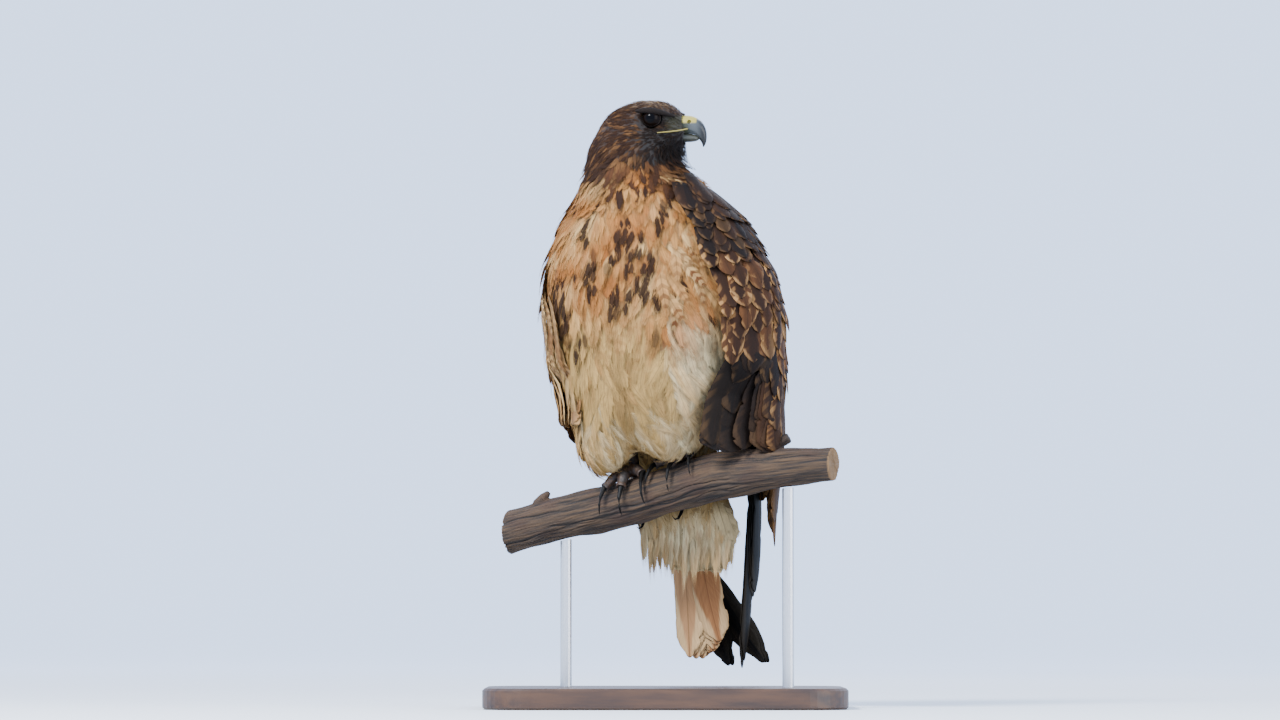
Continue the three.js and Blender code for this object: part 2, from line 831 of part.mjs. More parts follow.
// Planes that part the head, neck and torso: a point and a normal that points up
const HEAD_CUT = { at: vec(-22, 0, 477), normal: vec(0.25, 0, 0.97).normalize() };
const NECK_CUT = { at: vec(-30, 0, 449), normal: vec(-0.24, 0, 0.97).normalize() };
const above = (made, { at, normal }, gap) =>
  made.trimByPlane(normal.toArray(), at.dot(normal) + gap);
const below = (made, { at, normal }, gap) =>
  made.trimByPlane(normal.clone().negate().toArray(), -at.dot(normal) + gap);

const whole = (grow) => union([torso(grow), neck(grow), skull(grow)]);
const flesh = whole(0);
const fleshGrown = whole(GAP);
const perchGrown = perch(GAP + 0.3);
const eyesGrown = union(bothSides((side) => eyeball(side, GAP)));
const billGrown = union([billLoft(BILL, GAP), billLoft(LOWER_BILL, GAP)]);
const thighsGrown = union(bothSides((side) => thigh(side, GAP)));
const feetForms = Object.entries(FEET);
const feetGrown = union(feetForms.map(([, form]) => foot(form, GAP)));
const talonsGrown = union(
  feetForms.flatMap(([, form]) => Object.values(TOES).map((t) => talon(form, t, GAP))),
);
const feetAndTalons = union([feetGrown, talonsGrown]);

const headWhole = union([above(flesh, HEAD_CUT, GAP / 2), ...headForms()])
  .subtract(eyesGrown)
  .subtract(billGrown);
add("head", above(headWhole, HEAD_CUT, GAP / 2), FINISHES.crown);
add("neck", above(below(flesh, HEAD_CUT, GAP / 2), NECK_CUT, GAP / 2), FINISHES.crown);
add(
  "torso",
  below(flesh, NECK_CUT, GAP / 2).subtract(union([thighsGrown, perchGrown, feetAndTalons])),
  FINISHES.breast,
);

// Bill
const billPlane = {
  at: inHead(CERE_END, 0, 0),
  normal: inHead(1, 0, 0.1).sub(inHead(0, 0, 0)).normalize(),
};
const nostrils = tube(
  new THREE.LineCurve3(
    inHead(NOSTRIL.forward, -12, NOSTRIL.up),
    inHead(NOSTRIL.forward, 12, NOSTRIL.up),
  ),
  1,
  () => NOSTRIL.radius,
  10,
);
const nostrilCore = ball(inHead(NOSTRIL.forward, 0, NOSTRIL.up), [4.4, 4.4, 4.4], 0);
const upperBill = billLoft(BILL, 0).subtract(billLoft(LOWER_BILL, GAP));
const mouthForms = union(headForms());
add(
  "cere",
  below(upperBill, billPlane, GAP / 2).subtract(nostrils.subtract(nostrilCore)).subtract(mouthForms),
  FINISHES.cere,
);
add("bill_upper", above(upperBill, billPlane, GAP / 2), FINISHES.horn);
add("bill_lower", billLoft(LOWER_BILL, 0), FINISHES.horn);
for (const [name, side] of [["left", 1], ["right", -1]])
  add(`eye_${name}`, eyeball(side, 0), FINISHES.iris);

// Wings, primaries and tail, each cut clear of what it lies against
const tailMade = tail().subtract(union([fleshGrown, perchGrown]));
const others = union([fleshGrown, perchGrown, thighsGrown, feetAndTalons]);
for (const [name, side, table] of [["left", 1, WING_LEFT], ["right", -1, WING_RIGHT]]) {
  const vanes = [...TIERS.flatMap((tier) => tierVanes(table, side, tier)), ...flightVanes(table, side)];
  if (side > 0) vanes.push(...tuckedVanes(table, side));
  const tip = primaries(PRIMARY_SETS[name]).subtract(union([fleshGrown, tailMade]));
  const wing = union([arm(table, side, ARMS[name]), ...vanes]).subtract(others);
  add(`wing_${name}`, wing, FINISHES.wing);
  add(`primaries_${name}`, tip.subtract(widened(wing)), FINISHES.dark);
}
add("tail", tailMade, FINISHES.tail);

// Copies of a solid shifted a little each way, which clear a gap round it
function widened(made) {
  const moves = [[0, 0, 0], [1, 0, 0], [-1, 0, 0], [0, 1, 0], [0, -1, 0]];
  return union(moves.map((m) => made.translate(m.map((x) => x * GAP))));
}

// Legs
for (const [name, form] of feetForms) {
  const side = form.side;
  const parting = { at: inBody(0, -6, 0), normal: inBody(0, side, 0).sub(inBody(0, 0, 0)) };
  const lobe = above(thigh(side, 0), parting, GAP / 2);
  add(`leg_${name}`, lobe.subtract(union([perchGrown, feetAndTalons])), FINISHES.belly);
  const claws = union(Object.values(TOES).map((t) => talon(form, t, GAP)));
  add(`foot_${name}`, foot(form, 0).subtract(claws), FINISHES.toe);
  for (const [toeName, toeForm] of Object.entries(TOES))
    add(`talon_${name}_${toeName}`, talon(form, toeForm, 0), FINISHES.horn);
}

// Perch and stand
add("perch", union([perch(0), ...perchStubs()]), FINISHES.bark);
add("stand_base", standBase(), FINISHES.wood);
ROD_PLACES.forEach((v, i) =>
  add(`stand_rod_${["left", "right"][i]}`, rod(v).subtract(perchGrown), FINISHES.steel),
);

export default bird;
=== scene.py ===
# %% [markdown]
# # A red-tailed hawk on its perch
# The solids of the model give the places and sizes of everything here. This lesson dresses them: one
# smooth skin for the flesh, thousands of small soft feathers over it, large stiff feathers for the
# wings and the tail, and finer surfaces for the bill, eyes, feet, branch and stand.
# Lengths are metres, +Z is up and the viewer looks along +Y.

# %% The solids, and what every step needs
import json

import bpy
import numpy as np
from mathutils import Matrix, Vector
from mathutils.bvhtree import BVHTree

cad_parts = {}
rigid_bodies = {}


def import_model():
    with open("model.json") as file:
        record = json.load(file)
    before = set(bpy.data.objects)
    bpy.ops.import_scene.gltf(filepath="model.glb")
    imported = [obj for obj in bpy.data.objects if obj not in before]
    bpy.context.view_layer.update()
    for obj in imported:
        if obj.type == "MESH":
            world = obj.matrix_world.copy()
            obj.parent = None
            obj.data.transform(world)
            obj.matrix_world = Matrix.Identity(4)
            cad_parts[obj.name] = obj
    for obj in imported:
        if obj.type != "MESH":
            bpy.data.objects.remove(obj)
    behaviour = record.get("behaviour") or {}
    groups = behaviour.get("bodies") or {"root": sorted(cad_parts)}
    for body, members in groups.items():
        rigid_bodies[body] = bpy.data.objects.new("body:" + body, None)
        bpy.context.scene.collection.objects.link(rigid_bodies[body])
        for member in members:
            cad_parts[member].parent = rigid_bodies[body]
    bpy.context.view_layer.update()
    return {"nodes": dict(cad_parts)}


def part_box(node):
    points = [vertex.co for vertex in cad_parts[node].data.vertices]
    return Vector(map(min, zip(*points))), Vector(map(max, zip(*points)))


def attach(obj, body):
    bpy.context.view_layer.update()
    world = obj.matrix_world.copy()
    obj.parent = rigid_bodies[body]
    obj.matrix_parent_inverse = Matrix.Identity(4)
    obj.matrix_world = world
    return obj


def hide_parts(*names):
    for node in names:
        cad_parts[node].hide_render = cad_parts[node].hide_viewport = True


for leftover in list(bpy.data.objects):
    bpy.data.objects.remove(leftover)
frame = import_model()
MM = 0.001
rng = np.random.default_rng(7)
nodes = frame["nodes"]

# %% [markdown]
# ## Directions of the bird
# The breast doesn't face the viewer squarely, and the head looks over the left shoulder. Feathers
# follow the body, so every direction below is said as forward, left and up of the bird.

# %% Directions
BODY_TURN = np.radians(20)
HEAD_TURN = np.radians(-10)
FORWARD = np.array([-np.sin(BODY_TURN), -np.cos(BODY_TURN), 0.0])
LEFT = np.array([np.cos(BODY_TURN), -np.sin(BODY_TURN), 0.0])
UP = np.array([0.0, 0.0, 1.0])
BODY_AXIS = np.array([-12, -2, 0]) * MM
HEAD_FORWARD = np.array([np.cos(HEAD_TURN), np.sin(HEAD_TURN), 0.0])
HEAD_LEFT = np.array([-np.sin(HEAD_TURN), np.cos(HEAD_TURN), 0.0])
HEAD_AT = np.array([-17, -6, 499]) * MM


def in_body(u, v, z):
    return BODY_AXIS + (FORWARD * u + LEFT * v + UP * z) * MM


def in_head(u, v, w):
    return HEAD_AT + (HEAD_FORWARD * u + HEAD_LEFT * v + UP * w) * MM


def unit(v):
    return v / np.maximum(np.linalg.norm(v, axis=-1, keepdims=True), 1e-9)


def ramp(x, low, high):
    t = np.clip((x - low) / (high - low), 0, 1)
    return t * t * (3 - 2 * t)


def mesh_object(name, points, faces):
    mesh = bpy.data.meshes.new(name)
    mesh.from_pydata([tuple(p) for p in points], [], [tuple(f) for f in faces])
    mesh.update()
    mesh.shade_smooth()
    obj = bpy.data.objects.new(name, mesh)
    bpy.context.scene.collection.objects.link(obj)
    return obj


print("breast points along", FORWARD.round(2), "and bill along", HEAD_FORWARD.round(2))

# %% [markdown]
# ## Maths between sockets
# A material's pattern is a formula. This class wraps a node's output so that the formula can be
# written as Python: each operator adds the Math node that it stands for.

# %% Socket maths
class Wire:
    def __init__(self, tree, socket):
        self.tree = tree
        self.socket = socket

    def maths(self, operation, *others):
        return node(self.tree, "ShaderNodeMath", {"operation": operation}, None, self, *others)

    def __add__(self, other):
        return self.maths("ADD", other)

    def __sub__(self, other):
        return self.maths("SUBTRACT", other)

    def __mul__(self, other):
        return self.maths("MULTIPLY", other)

    def __truediv__(self, other):
        return self.maths("DIVIDE", other)

    def __pow__(self, other):
        return self.maths("POWER", other)

    def __neg__(self):
        return self * -1

    def __rsub__(self, other):
        return -self + other

    __radd__ = __add__
    __rmul__ = __mul__

    def size(self):
        return self.maths("ABSOLUTE")

    def part(self):
        return self.maths("FRACT")

    def between(self, low, high):
        """0 below low and 1 above high, on a smooth curve."""
        return node(
            self.tree,
            "ShaderNodeMapRange",
            {"interpolation_type": "SMOOTHSTEP", "clamp": True},
            None,
            self,
            low,
            high,
        )


print("maths on sockets:", [name for name in vars(Wire) if name.isalpha()])

# %% [markdown]
# ## Nodes and materials
# Patterns on horn, wood and feathers come from the same few nodes: soft noise, values that the mesh
# carries, a blend of two colours and a bump. They could be joined by hand in the shader editor. Short
# functions are used, so that a whole finish can be read from top to bottom.

# %% Nodes and materials
def node(tree, kind, settings=None, output=None, *values, **named):
    """One node: its settings first, then its sockets by order or by name, each a value or a Wire."""
    made = tree.nodes.new(kind)
    for key, value in (settings or {}).items():
        setattr(made, key, value)
    for key, value in [*enumerate(values), *named.items()]:
        socket = made.inputs[key.replace("_", " ") if isinstance(key, str) else key]
        if isinstance(value, Wire):
            tree.links.new(value.socket, socket)
        elif value is not None:
            socket.default_value = value
    return Wire(tree, made.outputs[output if output is not None else 0])


def blend(tree, factor, a, b):
    """Colour a where factor is 0 and colour b where it is 1."""
    made = tree.nodes.new("ShaderNodeMix")
    made.data_type = "RGBA"
    for place, value in ((0, factor), (6, a), (7, b)):
        if isinstance(value, Wire):
            tree.links.new(value.socket, made.inputs[place])
        else:
            made.inputs[place].default_value = value if place == 0 else (*value, 1)
    return Wire(tree, made.outputs[2])


def new_material(name):
    made = bpy.data.materials.new(name)
    made.use_nodes = True
    return made, made.node_tree, made.node_tree.nodes["Principled BSDF"]


def feed(tree, shader, **sockets):
    """Links or sets the shader's sockets: Base_Color=..., Roughness=... and so on."""
    for key, value in sockets.items():
        socket = shader.inputs[key.replace("_", " ")]
        if isinstance(value, Wire):
            tree.links.new(value.socket, socket)
        else:
            socket.default_value = value


def bump(tree, height, strength, distance):
    return node(
        tree, "ShaderNodeBump", None, "Normal", Strength=strength, Distance=distance, Height=height
    )


def noise(tree, scale, detail, place=None, **more):
    """Smooth random values from 0 to 1, changing over about 1 / scale of the place's own units."""
    return node(tree, "ShaderNodeTexNoise", None, 0, Vector=place, Scale=scale, Detail=detail, **more)


def attribute(tree, name, output):
    return node(tree, "ShaderNodeAttribute", {"attribute_name": name}, output)


def object_place(tree):
    return node(tree, "ShaderNodeTexCoord", None, "Object")


def three_parts(tree, vector):
    made = tree.nodes.new("ShaderNodeSeparateXYZ")
    tree.links.new(vector.socket, made.inputs[0])
    return (Wire(tree, made.outputs[i]) for i in range(3))


print("node helpers:", [helper.__name__ for helper in (node, blend, feed, bump, noise, attribute)])

# %% [markdown]
# ## Colours under a bright sky
# In soft blue light a painted colour looks paler and cooler than its paint. Each colour is named as it
# should look, and one function works back to the paint, so all the finishes shift together.

# %% Colours under the sky
SKY_COLOUR = (0.54, 0.69, 1.0)
SKY_STRENGTH = 2.7
# how much of a colour is left under the bright sky, its warmth against the blue, and its depth
SKY_WASH = 0.42
SKY_OFFSET = np.array([1.12, 1.0, 0.74])
COLOUR_DEPTH = 1.06


def linear(r, g, b):
    """A colour named as on a screen, turned into light: darker and warmer, as the sky is bright blue."""
    c = np.array([r, g, b]) / 255
    c = np.where(c <= 0.04045, c / 12.92, ((c + 0.055) / 1.055) ** 2.4)
    grey = c.mean()
    deep = np.clip(grey + (c - grey) * COLOUR_DEPTH, 0.0015, 1)
    return tuple(np.clip(deep * SKY_WASH * SKY_OFFSET, 0, 1))


print("paint of a white card:", [round(float(v), 2) for v in linear(255, 255, 255)])


# %% [markdown]
# ## The skin
# Under the feathers lies one body. The flesh solids are joined and remeshed to one even surface, which
# hides their seams, then smoothed and drawn in by the depth of the coat, so that the feather tips come
# back out to the solids' outline.

# %% Skin
FLESH = ["torso", "neck", "head", "leg_left", "leg_right"]
SKIN_CELL = 3.2 * MM
SOFTENING_ROUNDS = 45
COAT_ON_BODY = 6.0 * MM
COAT_ON_HEAD = 2.2 * MM


def vertex_values(mesh, what):
    """The vertices' places ("co") or directions ("normal"), as rows of three."""
    values = np.empty(len(mesh.vertices) * 3)
    mesh.vertices.foreach_get(what, values)
    return values.reshape(-1, 3)


def move_vertices(mesh, places):
    mesh.vertices.foreach_set("co", places.ravel())
    mesh.update()


def triangles_of(mesh):
    mesh.calc_loop_triangles()
    tri = np.empty(len(mesh.loop_triangles) * 3, dtype=np.int32)
    mesh.loop_triangles.foreach_get("vertices", tri)
    return tri.reshape(-1, 3)


def joined_mesh(names):
    points, faces, start = [], [], 0
    for name in names:
        mesh = nodes[name].data
        points.append(vertex_values(mesh, "co"))
        faces.append(triangles_of(mesh) + start)
        start += len(mesh.vertices)
    return np.vstack(points), np.vstack(faces)


def surface_of(points, faces):
    return BVHTree.FromPolygons([tuple(p) for p in points], [tuple(f) for f in faces])


def rounded(name, node_names, cell, strength, rounds):
    """The named solids as one evenly meshed surface, smoothed a number of rounds."""
    obj = mesh_object(name, *joined_mesh(node_names))
    for kind, settings in (
        ("REMESH", {"mode": "VOXEL", "voxel_size": cell}),
        ("SMOOTH", {"factor": strength, "iterations": rounds}),
    ):
        modifier = obj.modifiers.new(kind, kind)
        for key, value in settings.items():
            setattr(modifier, key, value)
    made = bpy.data.meshes.new_from_object(obj.evaluated_get(bpy.context.evaluated_depsgraph_get()))
    obj.modifiers.clear()
    obj.data = made
    made.shade_smooth()
    return obj


skin = rounded("skin", FLESH, SKIN_CELL, 0.6, 6)
ends = np.empty(len(skin.data.edges) * 2, dtype=np.int32)
skin.data.edges.foreach_get("vertices", ends)
ends = ends.reshape(-1, 2)
co = vertex_values(skin.data, "co")
neighbours = np.bincount(ends.ravel(), minlength=len(co))[:, None]
# the thighs and the foot of the belly are melted together by many more rounds of smoothing
soft = ramp(-co[:, 2], -285 * MM, -245 * MM) * ramp(co[:, 2], 190 * MM, 205 * MM)
for _ in range(SOFTENING_ROUNDS):
    around = np.stack(
        [
            np.bincount(ends[:, 0], co[ends[:, 1], k], len(co))
            + np.bincount(ends[:, 1], co[ends[:, 0], k], len(co))
            for k in range(3)
        ],
        axis=1,
    )
    co += (around / neighbours - co) * (0.6 * soft)[:, None]
move_vertices(skin.data, co)
head_share = ramp(co[:, 2], 455 * MM, 490 * MM)
depth = COAT_ON_BODY * (1 - head_share) + COAT_ON_HEAD * head_share
co = co - vertex_values(skin.data, "normal") * depth[:, None]
move_vertices(skin.data, co)
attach(skin, "root")
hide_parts(*FLESH)
print("skin:", len(skin.data.polygons), "faces")

# %% [markdown]
# ## Where the body feathers grow
# Real feathers grow in tracts and lie like roof tiles, each row over the roots of the next. Points are
# spread evenly over the skin, closer together where the feathers are small, by keeping a random point
# only when no kept point is nearer than the local spacing.

# %% Spread of the roots
SEEDS = 110000
SPACING_SHARE = 0.165

tri = triangles_of(skin.data)
tree_of_skin = surface_of(co, tri)
corner = co[tri]
area = np.linalg.norm(np.cross(corner[:, 1] - corner[:, 0], corner[:, 2] - corner[:, 0]), axis=1) / 2
pick = rng.choice(len(tri), size=SEEDS, p=area / area.sum())
a = np.sqrt(rng.random((2, len(pick), 1)))[0]
b = rng.random((len(pick), 1))
seeds = (1 - a) * corner[pick, 0] + a * (1 - b) * corner[pick, 1] + a * b * corner[pick, 2]
face_normal = unit(np.cross(corner[:, 1] - corner[:, 0], corner[:, 2] - corner[:, 0]))[pick]


def body_place(p):
    """Forward, left, up of the body in millimetres, and the angle round from the breast in degrees."""
    q = (p - BODY_AXIS) / MM
    u, v = q @ FORWARD, q @ LEFT
    return u, v, q[:, 2], np.degrees(np.arctan2(v, u))


def head_place(p):
    q = (p - HEAD_AT) / MM
    return q @ HEAD_FORWARD, q @ HEAD_LEFT, q[:, 2]


def feather_length(p):
    """Millimetres from root to tip: tiny at the bill, long on the belly, short again under the tail."""
    z = body_place(p)[2]
    hu, _, hw = head_place(p)
    on_head = 4.6 + 5.5 * ramp(-hu, -34, 20) + 4 * ramp(-hw, 5, 35)
    on_neck = 17.0
    on_body = 25 + 9 * ramp(-z, -400, -300) + 12 * ramp(-z, -250, -225)
    length = on_head + (on_neck - on_head) * ramp(-z, -484, -462)
    length = length + (on_body - length) * ramp(-z, -462, -420)
    return length * (1 - 0.45 * ramp(-z, -185, -145))


def spacing(p):
    return feather_length(p) * SPACING_SHARE * MM


order = rng.permutation(len(seeds))
gap = spacing(seeds)
cell = gap.max()
grid = {}
kept = []
eye_places = [in_head(9.3, 20.4 * side, 5.9) for side in (1, -1)]
bare = np.zeros(len(seeds), dtype=bool)
for place in eye_places:
    bare |= np.linalg.norm((seeds - place) * [1, 0.6, 1], axis=1) < 8.4 * MM
bare |= np.linalg.norm((seeds - in_head(44, 0, -3)) * [1.0, 1.0, 0.9], axis=1) < 8 * MM
order = order[~bare[order]]
for i in order:
    p = seeds[i]
    key = tuple((p // cell).astype(int))
    near = [
        j
        for dx in (-1, 0, 1)
        for dy in (-1, 0, 1)
        for dz in (-1, 0, 1)
        for j in grid.get((key[0] + dx, key[1] + dy, key[2] + dz), ())
    ]
    if near and (((seeds[near] - p) ** 2).sum(axis=1) < gap[i] ** 2).any():
        continue
    grid.setdefault(key, []).append(i)
    kept.append(i)
roots = seeds[kept]
root_normals = face_normal[kept]
print("body feathers:", len(roots))


# %% [markdown]
# ## The lie of the coat
# On the head the feathers point away from the bill, on the neck they turn down, and over the breast,
# belly and thighs they hang. The direction is laid flat on the skin at each root, with a slow swirl
# and a little scatter, because a real coat is never combed dead straight.

# %% Lie of the feathers
def swirl(p, size, turn):
    q = p / (size * MM)
    return np.sin(q[:, 0] * 1.7 + 3 * np.sin(q[:, 2] + turn)) * np.cos(q[:, 2] * 1.3 + q[:, 1] + turn)


def lie(p, n):
    v, z = body_place(p)[1:3]
    from_bill = unit(p - in_head(46, 0, -4))
    downward = -UP + 0.10 * FORWARD * ramp(-z, -260, -215)[:, None] - 0.25 * FORWARD
    downward = np.where((z < 215)[:, None], -UP - 0.35 * FORWARD, downward)
    to_flank = 0.5 * ramp(-z, -275, -245) * ramp(v, 25, 55) * ramp(z, 215, 222)
    downward = downward + LEFT * to_flank[:, None]
    share = ramp(z, 462, 492)[:, None]
    aim = unit(from_bill * share + unit(downward) * (1 - share))
    aim = aim - n * (aim * n).sum(axis=1, keepdims=True)
    aim = unit(aim)
    side = np.cross(n, aim)
    scatter = 0.16 - 0.07 * share[:, 0]
    angle = 0.34 * swirl(p, 26, 0.4) * (1 - 0.6 * share[:, 0]) + rng.normal(0, 1, len(p)) * scatter
    return unit(aim * np.cos(angle)[:, None] + side * np.sin(angle)[:, None])


STEPS = 5


def lay_paths(surface, start, start_normal, length, direction_of):
    """Walks from each root along the surface: points and normals at STEPS places down each feather."""
    places = np.zeros((len(start), STEPS, 3))
    ways = np.zeros((len(start), STEPS, 3))
    p, n = start.copy(), start_normal.copy()
    for k in range(STEPS):
        places[:, k], ways[:, k] = p, n
        if k == STEPS - 1:
            break
        aim = direction_of(p, n) if k == 0 else unit(aim - n * (aim * n).sum(axis=1, keepdims=True))
        ahead = p + aim * (length / (STEPS - 1))[:, None]
        for i, spot in enumerate(ahead):
            hit, normal, _, _ = surface.find_nearest(spot)
            p[i] = hit
            n[i] = normal
        n = unit(n * 0.5 + ways[:, k] * 0.5)
    return places, ways


lengths = feather_length(roots) * MM * rng.uniform(0.85, 1.15, len(roots))
paths, path_normals = lay_paths(tree_of_skin, roots, root_normals, lengths, lie)
FEATHERS_IN_LOCK = 13
leaders = rng.choice(len(roots), len(roots) // FEATHERS_IN_LOCK, replace=False)
lock = np.argmin(((roots[:, None] - roots[leaders][None]) ** 2).sum(axis=2), axis=1)
pull = paths[leaders[lock], -1] - paths[:, -1]
pull -= path_normals[:, -1] * (pull * path_normals[:, -1]).sum(axis=1, keepdims=True)
gather = 0.34 - 0.22 * ramp(roots[:, 2], 455 * MM, 485 * MM)
bend = np.linspace(0, 1, STEPS) ** 2
paths = paths + pull[:, None] * gather[:, None, None] * bend[None, :, None]
lock_rise = rng.uniform(0.45, 1.7, len(leaders))[lock]
print("locks:", len(leaders))

# %% [markdown]
# ## One soft feather
# A body feather of a hawk has a firm middle and a loose edge of separate barbs, which makes the breast
# look silky. A card with a picture could fake that, but the edge would be flat. Here a narrow vane
# carries thin barbs that leave the shaft at a slant, so every feather has a real ragged rim.
# A feather is drawn once in its own flat measure: s runs from root to tip and t across.

# %% Soft feather pattern
def soft_feather(barbs, spread, seed):
    """Points (s, t, lift) and triangles of one soft feather."""
    chance = np.random.default_rng(seed)
    rows = np.array([0.0, 0.22, 0.45, 0.66, 0.84])
    widths = np.array([0.26, 0.46, 0.50, 0.36, 0.12])
    pts, tris = [], []
    for s, w in zip(rows, widths):
        for q in (-1, 0, 1):
            pts.append((s, q * w, 0.10 * (1 - abs(q))))
    for r in range(len(rows) - 1):
        for q in range(2):
            a = r * 3 + q
            tris += [(a, a + 1, a + 4), (a, a + 4, a + 3)]
    for side in (-1, 1):
        for i in range(barbs):
            f = (i + chance.uniform(0.1, 0.9)) / barbs
            s0 = 0.22 + 0.66 * f
            reach = (1.0 - 0.45 * f) * chance.uniform(0.72, 1.12)
            s1 = min(s0 + 0.30 + 0.08 * (1 - f) + chance.uniform(-0.06, 0.10), 1.20)
            t1 = side * reach * (1.0 - 0.85 * max((s1 - 0.42) / 0.78, 0) ** 1.4)
            half = spread
            lift = chance.uniform(-0.05, 0.30)
            base = len(pts)
            t0 = side * 0.04
            sm, tm = (s0 * 0.55 + s1 * 0.45), t0 * 0.4 + t1 * 0.6
            pts += [
                (s0 - half, t0, 0.12),
                (s0 + half, t0, 0.12),
                (sm - half * 0.9, tm, 0.10 + lift * 0.4),
                (sm + half * 1.1, tm * 0.94, 0.10 + lift * 0.4),
                (s1, t1, lift),
            ]
            tris += [
                (base, base + 1, base + 3),
                (base, base + 3, base + 2),
                (base + 2, base + 3, base + 4),
            ]
    return np.array(pts), np.array(tris)


print("one soft feather:", len(soft_feather(15, 0.010, 0)[1]), "triangles")

# %% [markdown]
# ## Laying a feather on its path
# A real feather is rooted under its neighbours and its tip lies over the next row. A curve modifier
# could bend one feather, but not thousands at once. Here the flat pattern is laid along all the paths
# in one sum: s picks the place on the path, t goes across, and the lift rises from root to tip.

# %% Laying feathers
def grow(pattern, paths, path_normals, width, thick, root_lift, tip_lift):
    """Lays one flat pattern along every path. Returns points (feather, vertex, 3)."""
    s, t, h = pattern[:, 0], pattern[:, 1], pattern[:, 2]
    place = np.clip(s, 0, 1) * (STEPS - 1)
    low = np.minimum(place.astype(int), STEPS - 2)
    f = (place - low)[None, :, None]
    centre = paths[:, low] * (1 - f) + paths[:, low + 1] * f
    over = np.maximum(s - 1, 0)[None, :, None]
    centre = centre + (paths[:, -1] - paths[:, -2])[:, None] * over * (STEPS - 1)
    up = unit(path_normals[:, low] * (1 - f) + path_normals[:, low + 1] * f)
    along = unit(paths[:, low + 1] - paths[:, low])
    side = unit(np.cross(up, along))
    rise = root_lift[:, None] + (tip_lift - root_lift)[:, None] * np.clip(s, 0, 1)[None] ** 0.8
    rise = rise + thick[:, None] * h[None] - (thick * 0.9)[:, None] * (t**2)[None]
    across = width[:, None] * t[None] / 2
    return centre + side * across[..., None] + up * rise[..., None]


print("places on each path:", STEPS)


# %% [markdown]
# ## The coat's own colours
# The coat is built from a dozen colours, from the near-black of the face to the cream of the belly. They
# are named once here and mixed by shares, so a change to one of them shows everywhere it is used.

# %% Colours of the coat
BROWN = np.array(linear(92, 60, 38))
DARK = np.array(linear(46, 27, 16))
BLACK = np.array(linear(24, 17, 15))
LORE = np.array(linear(66, 68, 58))
HOOD = np.array(linear(52, 32, 20))
# pale for the top of the crown: partly its own pale streaks, partly a painted highlight
CROWN_PALE_AND_HIGHLIGHT = np.array(linear(176, 152, 130))
TAWNY = np.array(linear(160, 120, 84))
BUFF = np.array(linear(206, 158, 108))
PALE = np.array(linear(232, 200, 156))
RUST = np.array(linear(176, 108, 56))
CREAM = np.array(linear(214, 182, 130))
WHITE = np.array(linear(246, 234, 208))


def towards(colour, other, share):
    return colour + (other - colour) * np.asarray(share)[..., None]


print("hood", HOOD.round(3), "lower belly", CREAM.round(3))

# %% [markdown]
# ## Lines and drops on the breast
# Long dark drops lie in slanting rows across the breast, and some bands run along a line. An image
# could be painted for them, but it would blur close up. A distance to each drop or line gives a share
# from 0 to 1 that belongs to whole feathers.

# %% Lines and drops
DROP_HALF_WIDTH = 4.8
DROP_HALF_LENGTH = 13
# rows of dark drops across the breast: first place across and up, step, how many
DROP_ROWS = [
    ((4, 424), (-5, -13), 2),
    ((-34, 402), (12, -14), 3),
    ((-46, 380), (12, -12), 3),
    ((-60, 368), (-4, -15), 2),
    ((-90, 352), (6, -14), 4),
    ((-46, 340), (15, 3), 5),
    ((-66, 398), (30, 9), 2),
]


def near_line(x, z, a, b, width):
    """1 on the line from a to b across the front, falling to 0 at the width from it."""
    a, b = np.array(a, float), np.array(b, float)
    way = (b - a) / np.linalg.norm(b - a)
    along = np.clip((x - a[0]) * way[0] + (z - a[1]) * way[1], 0, np.linalg.norm(b - a))
    gap = np.hypot(x - a[0] - along * way[0], z - a[1] - along * way[1])
    return 1 - ramp(gap, 0.3 * width, width)


def drop_share(x, z):
    """1 inside one of the long dark drops, falling to 0 at its rim."""
    share = np.zeros(len(x))
    for first, step, how_many in DROP_ROWS:
        for k in range(how_many):
            at = np.array(first) + np.array(step) * k + rng.normal(0, 2.5, 2)
            lean = (x - at[0]) - 0.18 * (z - at[1])
            spread = (lean / DROP_HALF_WIDTH) ** 2 + ((z - at[1]) / DROP_HALF_LENGTH) ** 2
            share = np.maximum(share, 1 - ramp(spread, 0.75, 1.15))
    return share


print("dark drops:", sum(row[2] for row in DROP_ROWS))

# %% [markdown]
# ## Markings
# The bird's colours belong to places: a dark brown hood with a near-black face, a buff breast with
# rusty edges, a band of dark teardrops across the belly, barred flanks and a creamy lower belly.
# Each feather gets a ground colour, a colour for its marks, and how strongly it is streaked, barred
# and edged, all worked out from where its root is.

